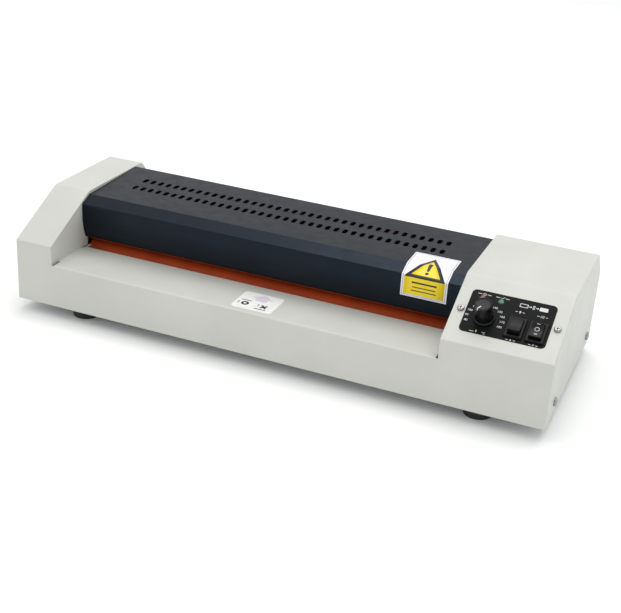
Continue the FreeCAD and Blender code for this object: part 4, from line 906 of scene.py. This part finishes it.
trayPrint = {"ring": (-9.2, -6.6, 2.5, 2.0), "ringBars": [(-1.4, 6.2, 9.4, 1.1), (-6.2, 0.3, 0.8, 4.6)],
             "cross": (8.6, -6.6), "crossReach": 3.6, "crossWidth": 2.0,
             "crossBars": [(-1.4, -5.6, 10.8, 1.1), (-5.8, 1.8, 0.8, 3.4)],
             "arrow": (1.2, 7.2), "arrowScale": 1.12}


def makeTrayPrint():
    t = trayPrint
    black = ring(*t["ring"])
    for place, bars in ((t["ring"], t["ringBars"]), (t["cross"], t["crossBars"])):
        black += [bar(place[0] + x, place[1] + y, length, width) for x, y, length, width in bars]
    black.append(crossLoop(*t["cross"], t["crossReach"], t["crossWidth"]))
    addPiece("trayMarks", inkMesh("trayMarks", black, onTray, 0.0), blackInk, "housing")
    # a broad arrow that points towards the rollers
    arrow = np.array([[-5.0, -4.6], [5.0, -4.6], [5.0, 0.2], [9.2, 0.2], [0, 6.6], [-9.2, 0.2], [-5.0, 0.2]])
    mesh = inkMesh("trayArrow", [arrow * t["arrowScale"] + t["arrow"]], onTray, 0.0)
    addPiece("trayArrow", mesh, lilacInk, "housing")


makePanelPrint()
makeKnob()
makeRockers()
makeSprings()
makeWarningPrint()
makeTrayPrint()
print("panel print, knob, rockers, springs and films made")


# floor, light and camera

def makeFloor():
    # one flat sheet far wider than the view
    side = np.array([[-4, -4, 0], [4, -4, 0], [4, 4, 0], [-4, 4, 0]], float)
    mesh = bpy.data.meshes.new("studioFloor")
    mesh.from_pydata(side.tolist(), [], [(0, 1, 2, 3)])
    floor = bpy.data.objects.new("studioFloor", mesh)
    bpy.context.scene.collection.objects.link(floor)
    material = newMaterial("paperSweep", studio["floor"], 0.9)[0]
    mesh.materials.append(material)


def makeLight(name, place, aim, size, power):
    lamp = bpy.data.lights.new(name, "AREA")
    lamp.shape = "RECTANGLE"
    lamp.size, lamp.size_y = size
    lamp.energy = power
    light = bpy.data.objects.new(name, lamp)
    bpy.context.scene.collection.objects.link(light)
    light.location = place
    light.rotation_euler = (Vector(aim) - Vector(place)).to_track_quat("-Z", "Y").to_euler()


def makeCamera():
    # back points from the object to the lens, turned by azimuth from the front, then rolled
    azimuth, elevation, roll = (math.radians(cameraSetup[key]) for key in ("azimuth", "elevation", "roll"))
    back = Vector((math.sin(azimuth) * math.cos(elevation), -math.cos(azimuth) * math.cos(elevation),
                   math.sin(elevation)))
    level = Vector((0, 0, 1)).cross(back).normalized()
    upright = back.cross(level)
    right = level * math.cos(roll) + upright * math.sin(roll)
    up = upright * math.cos(roll) - level * math.sin(roll)
    data = bpy.data.cameras.new("studioCamera")
    data.sensor_width = 36.0
    data.lens = cameraSetup["lens"]
    data.clip_end = 20.0
    camera = bpy.data.objects.new("studioCamera", data)
    bpy.context.scene.collection.objects.link(camera)
    place = (Vector(cameraSetup["target"]) + back * cameraSetup["distance"] + right * cameraSetup["right"]
             + up * cameraSetup["up"])
    facing = Matrix((right, up, back)).transposed().to_4x4()
    camera.matrix_world = Matrix.Translation(place) @ facing
    bpy.context.scene.camera = camera


makeFloor()
makeLight("keySoftbox", (-1.1, -0.7, 1.7), (0, 0, 0.05), (1.4, 1.4), studio["key"])
makeLight("fillSoftbox", (1.6, -1.1, 1.0), (0, 0, 0.05), (1.2, 1.2), studio["fill"])
makeLight("topSoftbox", (0.2, 0.5, 1.9), (0, 0, 0.05), (1.8, 1.2), studio["top"])
world = bpy.data.worlds.new("studioWorld")
world.use_nodes = True
world.node_tree.nodes["Background"].inputs["Color"].default_value = linear(studio["world"])
world.node_tree.nodes["Background"].inputs["Strength"].default_value = studio["worldStrength"]
bpy.context.scene.world = world
bpy.context.scene.view_settings.view_transform = "Standard"
makeCamera()
print("stage, lights and camera ready")
